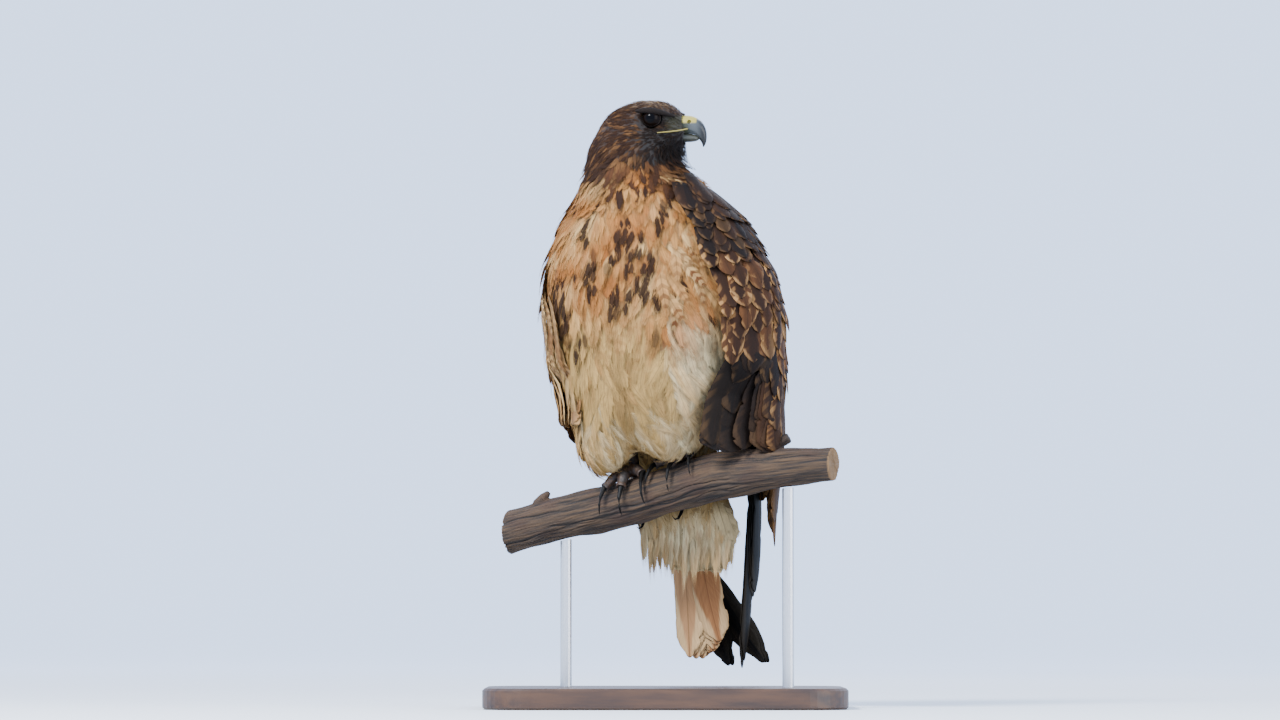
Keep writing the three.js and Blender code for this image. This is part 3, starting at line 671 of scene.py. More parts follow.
# %% Markings
def markings(p):
    """Ground colour, mark colour and (streak, bars, edge) where the feathers show, near their tips."""
    z, angle = body_place(p)[2:]
    hu, _, hw = head_place(p)
    x = p[:, 0] / MM
    count = len(p)
    chance, chance2, chance3 = rng.random((3, count))
    patch = swirl(p, 16, 1.3)
    behind = ramp(np.abs(angle), 92, 118)
    ground = towards(np.tile(BUFF, (count, 1)), PALE, 0.9 * ramp(patch + 0.8 * chance, 0.0, 1.4))
    darker = near_line(x, z, (6, 410), (-58, 350), 40) * ramp(chance2, 0.2, 0.9)
    ground = towards(ground, TAWNY, 0.8 * darker)
    rusty = ramp(z, 315, 370) * ramp(swirl(p, 24, 0.1) + 0.9 * chance, 0.3, 1.2)
    ground = towards(ground, RUST, 0.6 * rusty)
    low = ramp(-z + 8 * patch, -345, -300)
    ground = towards(ground, CREAM, low)
    ground = towards(ground, RUST, 0.35 * low * ramp(chance3, 0.80, 1.0) * ramp(z, 215, 290))
    # the lower belly whitens towards its right side: partly its own white, partly painted light on the
    # side turned away from the key lamp
    ground = towards(ground, WHITE, 0.85 * low * ramp(x + 10 * patch, -6, 24) * ramp(z, 205, 230))
    ground = towards(ground, TAWNY, 0.6 * low * ramp(chance2, 0.3, 0.9) * ramp(z, 275, 320))
    rusty_side = near_line(x, z, (28, 332), (2, 306), 24)
    ground = towards(ground, RUST, 0.75 * rusty_side * ramp(chance, 0.1, 0.8))
    # painted shade: the parting down the middle of the belly is darkened towards brown, where shade falls
    # in it
    painted_groove_shade = near_line(x, z, (-34, 290), (-34, 214), 15)
    ground = towards(ground, BROWN, 0.5 * painted_groove_shade * ramp(chance, 0.1, 0.7))
    in_shade = ramp(-z, -205, -180) * ramp(z, 128, 165) * (0.35 + 0.65 * ramp(-x, -6, 14))
    ground = towards(ground, BROWN, 0.75 * in_shade * ramp(chance2, 0.0, 0.6))
    ground = towards(ground, WHITE, 0.75 * ramp(-z, -180, -150) * (1 - 0.7 * in_shade))
    border = np.interp(x, [-79, -56, -39, -21, -9, 18], [441, 448, 463, 470, 462, 464]) - 2
    hood = ramp(z + 3 * patch - border, -3, 4)
    fringe = ramp(z - border + 7 * patch, -30, -10) * (1 - hood) * ramp(x, -72, -40)
    collar = fringe * np.maximum(ramp(chance, 0.1, 0.4), ramp(z - border, -18, -8))
    ground = towards(ground, towards(np.tile(BROWN, (count, 1)), DARK, 0.7 * chance2), 0.92 * collar)
    crown = towards(np.tile(HOOD, (count, 1)), TAWNY, 0.5 * ramp(chance, 0.5, 1.0))
    crown = towards(crown, DARK, 0.8 * ramp(chance2, 0.45, 0.9))
    # pale on the top and front of the crown: partly the feathers' own pale streaks, partly a painted
    # highlight where the light falls from above
    crown = towards(crown, CROWN_PALE_AND_HIGHLIGHT, 0.9 * ramp(hw, 11, 20) * ramp(hu, -24, -4) * ramp(chance3, 0.55, 0.85))
    ground = towards(ground, crown, hood)
    back = towards(np.tile(DARK, (count, 1)), BROWN, chance)
    ground = towards(ground, back, behind * ramp(-z, -470, -455) * ramp(z, 215, 250))
    eye_patch = np.exp(-(((hu - 12) / 15) ** 2 + ((hw - 6) / 8) ** 2))
    throat = ramp(hu - 0.35 * hw, 0, 18) * ramp(-hw, 1, 8)
    cheek = np.exp(-(((hu - 6) / 15) ** 2 + ((hw + 10) / 10) ** 2)) * 0.7
    face = np.clip(1.5 * eye_patch + throat + cheek, 0, 1) * (z > 458)
    ground = towards(ground, BLACK, 0.92 * face)
    lores = ramp(hu, 18, 25) * ramp(hw, -6, -3) * ramp(-hw, -11, -7)
    ground = towards(ground, LORE, 0.85 * lores)
    front = (1 - behind) * (1 - hood)
    drops = drop_share(x, z)
    sparse = ramp(chance3, 0.95, 0.96) * ramp(z, 292, 320) * ramp(-z, -400, -370)
    dark = np.clip(drops + sparse, 0, 1) * (1 - fringe) * front
    mark = towards(np.tile(RUST, (count, 1)), DARK, ramp(dark, 0.1, 0.3))
    streak = np.maximum(dark, 0.5 * chance2 * front * (1 - fringe) * ramp(z, 300, 345))
    flank = ramp(-x, 80, 90) * ramp(z, 245, 262) * ramp(-z, -380, -350)
    bars = np.clip(flank + 0.3 * low * ramp(z, 280, 300), 0, 1)
    bars = bars * ramp(chance2, 0.15, 0.4) * (1 - dark) * (1 - hood)
    mark = towards(mark, BROWN, ramp(bars, 0.1, 0.4))
    edge = 0.25 * collar + 0.35 * hood * (1 - face) + 0.5 * behind * (1 - hood)
    return ground, mark, np.stack([streak, bars, np.clip(edge, 0, 1)], axis=1)


ground, mark, pattern_share = markings(paths[:, 3])
print("feathers coloured:", len(ground), "mean colour", ground.mean(axis=0).round(3))

# %% [markdown]
# ## Colour and pattern in the material
# Each vertex of a feather carries where it is on the feather (s along, t across) and its feather's
# colours. The third number carries two things: its whole part is how many bars the feather has, and
# the rest is its own chance. The material turns these into a shaft, a teardrop, bars or a pale rim.
# Because the pattern is a formula on s and t, it stays sharp at any distance.

# %% Feather material
def feather_material(name, rim_colour, notched=False):
    material, tree, shader = new_material(name)
    s, t, number = three_parts(tree, attribute(tree, "vane", "Vector"))
    bar_count, chance = number.maths("FLOOR"), number.part()
    streak, bars, rim = three_parts(tree, attribute(tree, "pattern", "Vector"))
    ground = attribute(tree, "ground", "Color")
    mark = attribute(tree, "mark", "Color")
    place = object_place(tree)
    grain = noise(tree, 700.0, 2.0, place)
    away = t.size()
    slant = s - away * 0.16
    lanes = node(
        tree, "ShaderNodeCombineXYZ", None, None, t * 3.0 + chance * 37.0, s * 1.4, chance * 19.0
    )
    strand = noise(tree, 3.2, 3.0, lanes)
    combed = node(tree, "ShaderNodeCombineXYZ", None, None, slant * 16.0, t * 0.6, chance * 23.0)
    barb = noise(tree, 2.4, 2.0, combed)
    wobble = (strand - 0.5) * 0.22
    teardrop = (away + wobble - (s - 0.30) * 1.3).between(0.12, -0.06) * s.between(0.34, 0.5)
    bands = (slant * bar_count + chance + wobble).part()
    bar = (bands - 0.5).size().between(0.30, 0.16) * s.between(0.10, 0.30)
    if notched:
        bar = bar * (away + wobble).between(0.30, 0.62)
    edge = (away * 0.9 + s.between(0.62, 1.0) * 0.75 + wobble * 1.6).between(0.78, 1.0)
    shaft = away.between(0.06, 0.02)
    marked = teardrop * streak + bar * bars
    colour = blend(tree, marked * (0.8 + strand * 0.3), ground, mark)
    colour = blend(tree, edge * rim, colour, rim_colour)
    colour = blend(tree, shaft * 0.4, colour, linear(40, 26, 18))
    shade = 0.42 + strand * 0.62 + barb * 0.42 + chance * 0.22 - s.between(0.5, 0.0) * 0.4
    if notched:
        shade = shade * (0.72 + away.between(0.1, 0.8) * 0.42)
    hue = node(tree, "ShaderNodeHueSaturation", None, 0, Value=shade, Color=colour)
    feed(
        tree,
        shader,
        Base_Color=hue,
        Roughness=0.80 - grain * 0.12,
        Normal=bump(tree, barb + strand * 0.5, 0.45, 0.0005),
    )
    shader.inputs["Specular IOR Level"].default_value = 0.12
    return material


soft_material = feather_material("soft feathers", linear(214, 160, 108))
print("soft feather material:", len(soft_material.node_tree.nodes), "nodes")

# %% [markdown]
# ## Joining the feathers
# A few thousand separate objects would be slow, so each stretch of the coat is one mesh. Its map,
# OFBake, puts every feather on a tiny patch at its root's place on the skin unrolled round the body,
# so that neighbours lie side by side on the map as they do on the bird.

# %% Joining feathers
PATCH = 0.003


def unrolled(p):
    """The skin opened down the back: the angle round the body across, height up."""
    _, _, z, angle = body_place(p)
    return np.stack([(angle + 180) / 360, (z - 100) / 430], axis=1)


def write_attribute(mesh, name, kind, values):
    made = mesh.attributes.new(name, kind, "POINT")
    made.data.foreach_set("color" if "COLOR" in kind else "vector", values.ravel())


def coat_piece(name, sheets, material):
    """sheets: (points, flat pattern, triangles, roots, chance, ground, mark, shares) per pattern."""
    pts, tris, vane, grounds, marks, shares, uvs = [], [], [], [], [], [], []
    base = 0
    all_roots = np.vstack([sheet[3] for sheet in sheets])
    flat = unrolled(all_roots)
    low, high = flat.min(axis=0), flat.max(axis=0)
    for made, pattern, faces, root, chance, colour, spot, share in sheets:
        count, size = made.shape[:2]
        pts.append(made.reshape(-1, 3))
        tris.append((faces[None] + (np.arange(count) * size)[:, None, None]).reshape(-1, 3) + base)
        base += count * size
        s = np.tile(pattern[:, 0], count)
        t = np.tile(pattern[:, 1], count)
        vane.append(np.stack([s, t, np.repeat(chance, size)], axis=1))
        one = np.ones((count * size, 1))
        grounds.append(np.hstack([np.repeat(colour, size, axis=0), one]))
        marks.append(np.hstack([np.repeat(spot, size, axis=0), one]))
        shares.append(np.repeat(share, size, axis=0))
        centre = 0.01 + 0.98 * (unrolled(root) - low) / (high - low)
        offset = np.stack([t / 2, s - 0.5], axis=1) * PATCH * 0.98
        uvs.append(np.repeat(centre, size, axis=0) + offset)
    pts, tris = np.vstack(pts), np.vstack(tris)
    mesh = bpy.data.meshes.new(name)
    mesh.vertices.add(len(pts))
    mesh.vertices.foreach_set("co", pts.ravel())
    mesh.loops.add(len(tris) * 3)
    mesh.loops.foreach_set("vertex_index", tris.ravel().astype(np.int32))
    mesh.polygons.add(len(tris))
    mesh.polygons.foreach_set("loop_start", np.arange(len(tris), dtype=np.int32) * 3)
    mesh.update(calc_edges=True)
    write_attribute(mesh, "vane", "FLOAT_VECTOR", np.vstack(vane))
    write_attribute(mesh, "pattern", "FLOAT_VECTOR", np.vstack(shares))
    write_attribute(mesh, "ground", "FLOAT_COLOR", np.vstack(grounds))
    write_attribute(mesh, "mark", "FLOAT_COLOR", np.vstack(marks))
    layer = mesh.uv_layers.new(name="OFBake")
    layer.data.foreach_set("uv", np.clip(np.vstack(uvs)[tris.ravel()], 0, 1).ravel())
    mesh.shade_smooth()
    mesh.materials.append(material)
    obj = bpy.data.objects.new(name, mesh)
    bpy.context.scene.collection.objects.link(obj)
    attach(obj, "root")
    print(name, len(tris), "triangles")
    return obj


print("patch of one feather on the map:", PATCH)

# %% [markdown]
# ## The coat in four stretches
# Head, breast, belly and vent have feathers of different length and lift: short close ones on the
# head, longer looser ones below, and a small beard under the bill. Hair could be grown, but each
# feather needs its own colours, so every one is laid on its own path.

# %% Coat pieces
PIECE_LIMIT = 185000
BARS_OF_SOFT = 4
feather_chance = BARS_OF_SOFT + rng.random(len(roots))
body_z, body_angle = body_place(roots)[2:]
on_head = ramp(roots[:, 2], 455 * MM, 485 * MM)
widths = lengths * rng.uniform(0.40, 0.54, len(roots)) * (1 - 0.12 * on_head)
tip_lift = (3.0 * (1 - on_head) + 0.8 * on_head) * MM * rng.uniform(0.6, 1.4, len(roots)) * lock_rise
root_lift = np.full(len(roots), -0.6 * MM)
head_u, _, head_w = head_place(roots)
beard = ramp(head_u, 14, 24) * ramp(-head_w, 8, 16) * (body_z > 450)
tip_lift = tip_lift + 5.0 * MM * beard
LONG_PATTERNS = [soft_feather(15, 0.010, seed) for seed in range(5)]
SHORT_PATTERNS = [soft_feather(6, 0.022, seed) for seed in range(5)]
variety = rng.integers(0, len(LONG_PATTERNS), len(roots))


def grow_coat(name, chosen, patterns):
    """One stretch of the coat, cut round the body into pieces of a size that loads well."""
    chosen = np.where(chosen)[0]
    chosen = chosen[np.argsort(body_angle[chosen])]
    pieces = int(np.ceil(len(chosen) * len(patterns[0][1]) / PIECE_LIMIT))
    for number, part in enumerate(np.array_split(chosen, pieces)):
        sheets = []
        for k, (pattern, faces) in enumerate(patterns):
            ours = part[variety[part] == k]
            made = grow(
                pattern,
                paths[ours],
                path_normals[ours],
                widths[ours],
                widths[ours] * 0.22,
                root_lift[ours],
                tip_lift[ours],
            )
            colours = (feather_chance[ours], ground[ours], mark[ours], pattern_share[ours])
            sheets.append((made, pattern, faces, roots[ours], *colours))
        coat_piece(f"{name}_{number + 1}" if pieces > 1 else name, sheets, soft_material)


grow_coat("coat_head", body_z > 455, SHORT_PATTERNS)
grow_coat("coat_breast", (body_z <= 455) & (body_z > 330), LONG_PATTERNS)
grow_coat("coat_belly", (body_z <= 330) & (body_z > 215), LONG_PATTERNS)
grow_coat("coat_vent", body_z <= 215, LONG_PATTERNS)

# %% [markdown]
# ## Feathers that stand out
# Some groups show as single feathers. Broad brown ones collar the neck. Loose fluff hangs over the
# thighs and the flank down to the branch, and pale coverts hide the root of the tail. Long barred ones
# spill from the breast towards the front edge of the left wing.

# %% Feathers that stand out
TAIL_PINK = np.array(linear(206, 166, 134))
TAIL_RUST = np.array(linear(150, 96, 62))


def stand_out(
    name, chosen, gap, length, width, lift, side_pull, colour, spot, shares, bars, drop=None
):
    """Single feathers at least gap apart. They lie on the skin, or hang free along drop where given."""
    kept = []
    for i in np.where(chosen)[0]:
        if all(np.linalg.norm(roots[i] - roots[j]) > gap * MM for j in kept):
            kept.append(i)
    kept = np.array(kept)
    count = len(kept)

    def hang(p, n):
        aim = -UP + LEFT * side_pull + rng.normal(0, 0.24, (len(p), 3))
        return unit(aim - n * (aim * n).sum(axis=1, keepdims=True))

    size = length * MM * rng.uniform(0.8 if drop is None else 0.55, 1.25, count)
    p, n = lay_paths(tree_of_skin, roots[kept], root_normals[kept], size, hang)
    if drop is not None:
        drop = unit(drop + rng.normal(0, 0.07, (count, 3)))
        share = np.linspace(0, 1, STEPS)[None, :, None]
        p = roots[kept][:, None] + drop[:, None] * size[:, None, None] * share
        n = np.repeat(unit(root_normals[kept] + 2 * FORWARD)[:, None], STEPS, axis=1)
    flat, faces = soft_feather(22, 0.008, 11)
    made = grow(
        flat,
        p,
        n,
        width * MM * rng.uniform(0.85, 1.15, count),
        np.full(count, 1.6 * MM),
        np.full(count, 0.4 * MM),
        lift * MM * rng.uniform(0.8, 1.25, count),
    )
    tone = rng.random(count)
    ground = towards(np.tile(colour[0], (count, 1)), colour[1], tone)
    spots = np.tile(spot, (count, 1))
    share = np.tile(np.array(shares), (count, 1)) * rng.uniform(0.6, 1.2, (count, 3))
    sheet = (made, flat, faces, roots[kept], bars + rng.random(count), ground, spots, share)
    coat_piece(name, [sheet], soft_material)


place_x = roots[:, 0] / MM
is_front = np.abs(body_angle) < 75
stand_out(
    "collar",
    is_front & (place_x > -50) & (place_x < 12) & (body_z > 444) & (body_z < 466),
    8.0, 24, 13, 3.6, -0.15, (DARK, BROWN * 1.25), DARK, (0.5, 0.0, 0.45), 4,
)
stand_out(
    "thigh_fluff",
    is_front & (body_z > 222) & (body_z < 262) & (place_x > -78),
    5.0, 40, 13, 5.0, 0.22, (CREAM, WHITE), TAWNY, (0.3, 0.0, 0.2), 4,
)
on_right_side = (body_angle < -48) & (body_angle > -125)
stand_out(
    "thigh_side_fluff",
    on_right_side & (place_x < -44) & (body_z > 218) & (body_z < 292),
    4.4, 40, 12, 8.0, -0.12, (CREAM, PALE), TAWNY, (0.3, 0.0, 0.15), 4,
)
faces_viewer = root_normals @ FORWARD > 0.15
stand_out(
    "undertail_coverts",
    faces_viewer & (body_z > 140) & (body_z < 186),
    3.8, 32, 8, 1.5, 0.10, (PALE, WHITE), TAWNY, (0.4, 0.0, 0.2), 4,
    drop=-UP - 0.10 * FORWARD,
)
on_left_flank = (body_angle > 0) & (body_angle < 80)
stand_out(
    "flank_fluff",
    on_left_flank & (place_x > 0) & (place_x < 46) & (body_z > 232) & (body_z < 300),
    4.2, 40, 12, 9.0, 0.75, (PALE, WHITE), TAWNY, (0.2, 0.0, 0.15), 4,
)
stand_out(
    "loose_feathers",
    is_front & (place_x > -6) & (place_x < 36) & (body_z > 352) & (body_z < 412),
    13.0, 38, 17, 6.0, 0.42, (BUFF, PALE), BROWN * 1.6, (0.5, 0.55, 0.3), 5,
)

# %% [markdown]
# ## Colour of the skin
# Between the feathers a little skin shows, in shadow. It carries the same markings as the coat, so a
# gap never looks like a hole.

# %% Skin material
skin_ground = markings(co)[0]
write_attribute(skin.data, "ground", "FLOAT_COLOR", np.hstack([skin_ground, np.ones((len(co), 1))]))
skin_material, tree, shader = new_material("skin under the feathers")
tone = attribute(tree, "ground", "Color")
fluff = noise(tree, 420.0, 4.0)
down = node(tree, "ShaderNodeHueSaturation", None, 0, Value=0.45 + fluff * 0.3, Color=tone)
feed(tree, shader, Base_Color=down, Roughness=0.95, Normal=bump(tree, fluff, 0.5, 0.001))
skin.data.materials.clear()
skin.data.materials.append(skin_material)
print("skin coloured at", len(co), "places")

# %% [markdown]
# ## The wing's surface, measured
# A folded wing wraps the flank. Its large feathers must follow the solid wing exactly, so the surface
# is measured from the solids: rays come in towards the body's axis from all round, and the distances
# they find are smoothed into a shell that any angle and height can be looked up on.

# %% Wing shell
ANGLE_STEP = 4.0
HEIGHT_STEP = 6.0
SHELL_ANGLES = np.arange(30, 176, ANGLE_STEP)
SHELL_HEIGHTS = np.arange(146, 474, HEIGHT_STEP)
RAY_START = 0.25
FILL_ROUNDS = 80
EVENING_ROUNDS = 3


def wing_shell(side_name, side):
    pts, tris = joined_mesh([f"wing_{side_name}"])
    surface = surface_of(pts, tris)
    radii = np.full((len(SHELL_HEIGHTS), len(SHELL_ANGLES)), np.nan)
    for i, z in enumerate(SHELL_HEIGHTS):
        for j, angle in enumerate(np.radians(SHELL_ANGLES)):
            way = FORWARD * np.cos(angle) + LEFT * np.sin(angle) * side
            start = BODY_AXIS + UP * z * MM + way * RAY_START
            hit = surface.ray_cast(Vector(start), Vector(-way), RAY_START)
            if hit[0] is not None:
                radii[i, j] = (RAY_START - hit[3]) / MM
    for _ in range(FILL_ROUNDS):
        padded = np.pad(radii, 1, constant_values=np.nan)
        around = np.stack(
            [padded[:-2, 1:-1], padded[2:, 1:-1], padded[1:-1, :-2], padded[1:-1, 2:]]
        )
        count = (~np.isnan(around)).sum(axis=0)
        mean = np.where(count > 0, np.nansum(around, axis=0) / np.maximum(count, 1), np.nan)
        radii = np.where(np.isnan(radii), mean, radii)
    for _ in range(EVENING_ROUNDS):
        padded = np.pad(radii, 1, mode="edge")
        radii = (
            padded[:-2, 1:-1] + padded[2:, 1:-1] + padded[1:-1, :-2] + padded[1:-1, 2:] + radii * 4
        ) / 8
    return radii


def on_shell(radii, side, angle, z):
    x = np.clip((angle - SHELL_ANGLES[0]) / ANGLE_STEP, 0, len(SHELL_ANGLES) - 1.001)
    y = np.clip((z - SHELL_HEIGHTS[0]) / HEIGHT_STEP, 0, len(SHELL_HEIGHTS) - 1.001)
    i, j = y.astype(int), x.astype(int)
    fy, fx = y - i, x - j
    r = (
        radii[i, j] * (1 - fx) * (1 - fy)
        + radii[i, j + 1] * fx * (1 - fy)
        + radii[i + 1, j] * (1 - fx) * fy
        + radii[i + 1, j + 1] * fx * fy
    )
    a = np.radians(angle)
    way = FORWARD * np.cos(a)[..., None] + LEFT * (np.sin(a) * side)[..., None]
    return BODY_AXIS + (way * r[..., None] + UP * z[..., None]) * MM


def shell_path(radii, side, root, tip):
    """Paths on the shell between (angle, height) pairs, with the shell's outward normals."""
    share = np.linspace(0, 1, STEPS)[None, :, None]
    spot = root[:, None] * (1 - share) + tip[:, None] * share
    angle, z = spot[..., 0], spot[..., 1]
    p = on_shell(radii, side, angle, z)
    across = on_shell(radii, side, angle + 3, z) - on_shell(radii, side, angle - 3, z)
    upward = on_shell(radii, side, angle, z + 5) - on_shell(radii, side, angle, z - 5)
    return p, unit(np.cross(across, upward) * side)


print("shell grid:", len(SHELL_HEIGHTS), "heights by", len(SHELL_ANGLES), "angles")

# %% [markdown]
# ## One stiff feather
# Flight feathers and wing coverts are firm blades: a shaft, two webs of barbs locked together, a
# rounded tip, and here and there a split in the web. A thin plate closed all round is used, with the
# rim nudged in and out so that no edge is perfectly smooth.

# %% Stiff feather pattern
def stiff_feather(rows, columns, blunt, seed, splits=2, taper=0.62, point=0.015, end=0.10):
    chance = np.random.default_rng(seed)
    s = 1 - (1 - np.linspace(0, 1, rows)) ** 1.35
    wide = np.where(s < 0.62, 0.66 + 0.34 * (s / 0.62) ** 0.8, 1.0)
    wide = wide * (1 - np.clip((s - taper) / (1 - taper), 0, 1) ** blunt) ** 0.55
    wide = np.maximum(wide, end)
    t = np.linspace(-1, 1, columns)
    grid = np.zeros((rows, columns, 3))
    grid[..., 0] = s[:, None] + point * (1 - np.abs(t))[None]
    rim = chance.normal(0, 0.018, (rows, 2))
    grid[..., 1] = t[None] * wide[:, None]
    grid[:, 0, 1] -= rim[:, 0]
    grid[:, -1, 1] += rim[:, 1]
    grid[..., 0] -= 0.02 * (t**2)[None] * (s > 0.1)[:, None]
    grid[..., 2] = 0.25 * (1 - t**2)[None]
    for _ in range(splits):
        row = chance.integers(rows // 3, rows - 2)
        column = 0 if chance.random() < 0.5 else columns - 1
        grid[row, column, 1] *= 0.74
    under = grid.copy()
    under[..., 2] -= 0.30
    pts = np.vstack([grid.reshape(-1, 3), under.reshape(-1, 3)])
    back = rows * columns
    tris = []
    for i in range(rows - 1):
        for j in range(columns - 1):
            a, b = i * columns + j, i * columns + j + 1
            c, d = a + columns, b + columns
            tris += [(a, b, d), (a, d, c)]
            tris += [(back + a, back + d, back + b), (back + a, back + c, back + d)]
    loop = [*range(columns)]
    loop += [i * columns + columns - 1 for i in range(1, rows)]
    loop += [(rows - 1) * columns + j for j in range(columns - 2, -1, -1)]
    loop += [i * columns for i in range(rows - 2, 0, -1)]
    for a, b in zip(loop, loop[1:] + loop[:1]):
        tris += [(b, a, back + a), (b, back + a, back + b)]
    return pts, np.array(tris)


STIFF = [stiff_feather(10, 5, 2.2, seed) for seed in range(4)]
LONG_STIFF = [
    stiff_feather(34, 7, 2.2, seed, splits=3, taper=0.88, point=0.001, end=0.34) for seed in range(4)
]
print("stiff feather:", len(STIFF[0][1]), "triangles, long one:", len(LONG_STIFF[0][1]))

# %% [markdown]
# ## Tiers of the wing
# From the shoulder down the feathers get longer: small lesser coverts in many rows, then median and
# greater coverts, then the long secondaries that pass behind the perch. Their roots are tucked in and
# their tips stand out, so each row's tips lie over the roots of the row below. The tiers are listed
# from the bottom up. Curves drawn on the flank give the wing's front and back edge at every height.

# %% Tiers of the wing
WING_DARK = np.array(linear(42, 22, 10))
WING_BROWN = np.array(linear(100, 66, 42))
WING_PALE = np.array(linear(200, 158, 112))
# first root height, last root height, rows, length, half width, lift, bars, edge, bars on each, tone
WING_TIERS = [
    (270, 256, 2, 105, 13.0, 0.4, 0.35, 0.25, 9, 0.55),
    (304, 284, 2, 66, 11.5, 1.0, 0.5, 0.45, 6, 0.7),
    (354, 318, 4, 46, 9.6, 1.7, 1.0, 0.75, 4, 1.0),
    (406, 366, 4, 36, 8.8, 2.2, 0.6, 0.6, 4, 0.8),
    (448, 414, 5, 27, 7.4, 2.0, 0.15, 0.15, 3, 0.26),
]


def front_edge(z, side):
    """Where the wing's front edge lies round the flank, in degrees from the breast."""
    if side > 0:
        return np.interp(z, [170, 223, 300, 351, 420, 458, 470], [68, 65, 63, 59, 48, 43, 50])
    return np.interp(z, [170, 250, 320, 352, 372, 470], [62, 50, 47, 58, 76, 84])


def back_edge(z):
    return np.interp(z, [170, 250, 351, 420, 465], [140, 146, 150, 146, 128])


def onto_back(p, side):
    """Lets the rear part of the wing come down onto the back, so that its edge never stands off."""
    _, _, z, angle = body_place(p.reshape(-1, 3))
    share = ramp(angle * side, 112, 146) * ramp(z, 215, 300)
    moved = p.reshape(-1, 3).copy()
    for i in np.where(share > 0.01)[0]:
        hit, normal, _, _ = tree_of_skin.find_nearest(moved[i])
        resting = np.array(hit) + np.array(normal) * 7 * MM
        moved[i] += (resting - moved[i]) * share[i]
    return moved.reshape(p.shape)


print("tiers:", len(WING_TIERS), "rows:", sum(tier[2] for tier in WING_TIERS))

# %% [markdown]
# ## One row of the wing
# In a row the feathers stand side by side at nearly even gaps, each with its own length and brown.
# Copies of one feather would look like roof tiles, so every place and colour has a little chance in
# it. Over the branch the tips stop short. On the right wing, the feathers next to the breast are pale
# and barred like it.

# %% One row of the wing
BRANCH_TOP = 218
SECONDARIES_FROM = 100


def row_places(side, tier, k):
    """(angle, height) of the roots and of the tips of one row of a tier, counted k from its top."""
    first, last, rows, length, half = tier[:5]
    z = first + (last - first) * (k / max(rows - 1, 1))
    radius = 100 if side > 0 else 88
    arc = (back_edge(z) - front_edge(z, side)) * np.pi / 180 * radius
    count = max(int(arc / (half * 1.02)), 3)
    share = (np.arange(count) + 0.5 * (k % 2)) / count
    share = share[share < 1.0] + rng.normal(0, 0.30 / count, (share < 1.0).sum())
    drop = length * rng.uniform(0.84, 1.14, len(share))
    if length > SECONDARIES_FROM:
        drop = 46 + 66 * ramp(share, 0.25, 0.55) - 52 * ramp(share, 0.72, 1.0)
        if side < 0:
            drop = drop * 0.62
    top = z + 4 * np.sin(share * 9 + k) + rng.normal(0, 0.09 * min(length, 50), len(share))
    bottom = top - drop
    start = front_edge(top, side) + (back_edge(top) - front_edge(top, side)) * share
    if side > 0:
        bottom = np.where(start < 100, np.maximum(bottom, BRANCH_TOP), bottom)
    else:
        bottom = np.maximum(bottom, 243 - 34 * ramp(share, 0.45, 0.8))
    end = front_edge(bottom, side) + (back_edge(bottom) - front_edge(bottom, side)) * share
    end = end + rng.normal(0, 2.4, len(share)) - 1.5
    return np.stack([start, top], axis=1), np.stack([end, bottom], axis=1)


def row_colours(side, tip, bars, edge, shade, breast_side):
    """Ground, mark and (streak, bars, edge) of one row, with painted shade on the inner feathers."""
    end, bottom = tip.T
    count = len(tip)
    ground = towards(np.tile(WING_DARK, (count, 1)), WING_BROWN, rng.uniform(0, 1, count))
    ground = towards(ground, WING_PALE, 0.35 * ramp(rng.random(count), 0.80, 1.0)) * shade
    ground = towards(ground, towards(TAWNY, PALE, rng.random(count)), breast_side)
    # painted shade: the inner feathers low on the left wing, next to the belly, are darkened near-black
    # where the wing's shadow falls
    inner = ramp(-end, -92, -80) * ramp(-bottom, -300, -280) * (side > 0)
    ground = towards(ground, BLACK * 0.6, 0.92 * inner)
    spot = towards(np.tile(WING_PALE, (count, 1)), WING_BROWN, rng.uniform(0, 0.8, count))
    spot = towards(spot, BROWN, breast_side)
    shares = np.tile(np.array([0.0, bars, edge]), (count, 1))
    shares[:, 1:] *= (1 - 0.9 * inner)[:, None]
    shares[:, 1:] *= rng.uniform(0.0, 1.2, (count, 2)) ** 1.5
    shares[:, 1] = np.where(breast_side > 0.5, rng.uniform(0.3, 0.8, count), shares[:, 1])
    return ground, spot, shares


print("tips over the branch stop at", BRANCH_TOP, "mm")

# %% [markdown]
# ## The wings
# Each folded wing is a few hundred feathers on its measured surface, joined into one mesh that takes
# the place of the plain solid wing. Stiff patterns are used, and soft ones where the right wing meets
# the breast, which become a piece of their own.

# %% Wing feathers
SOFT_KIND = 4
LONG_FROM = 60
TUCK_DEPTH = 14


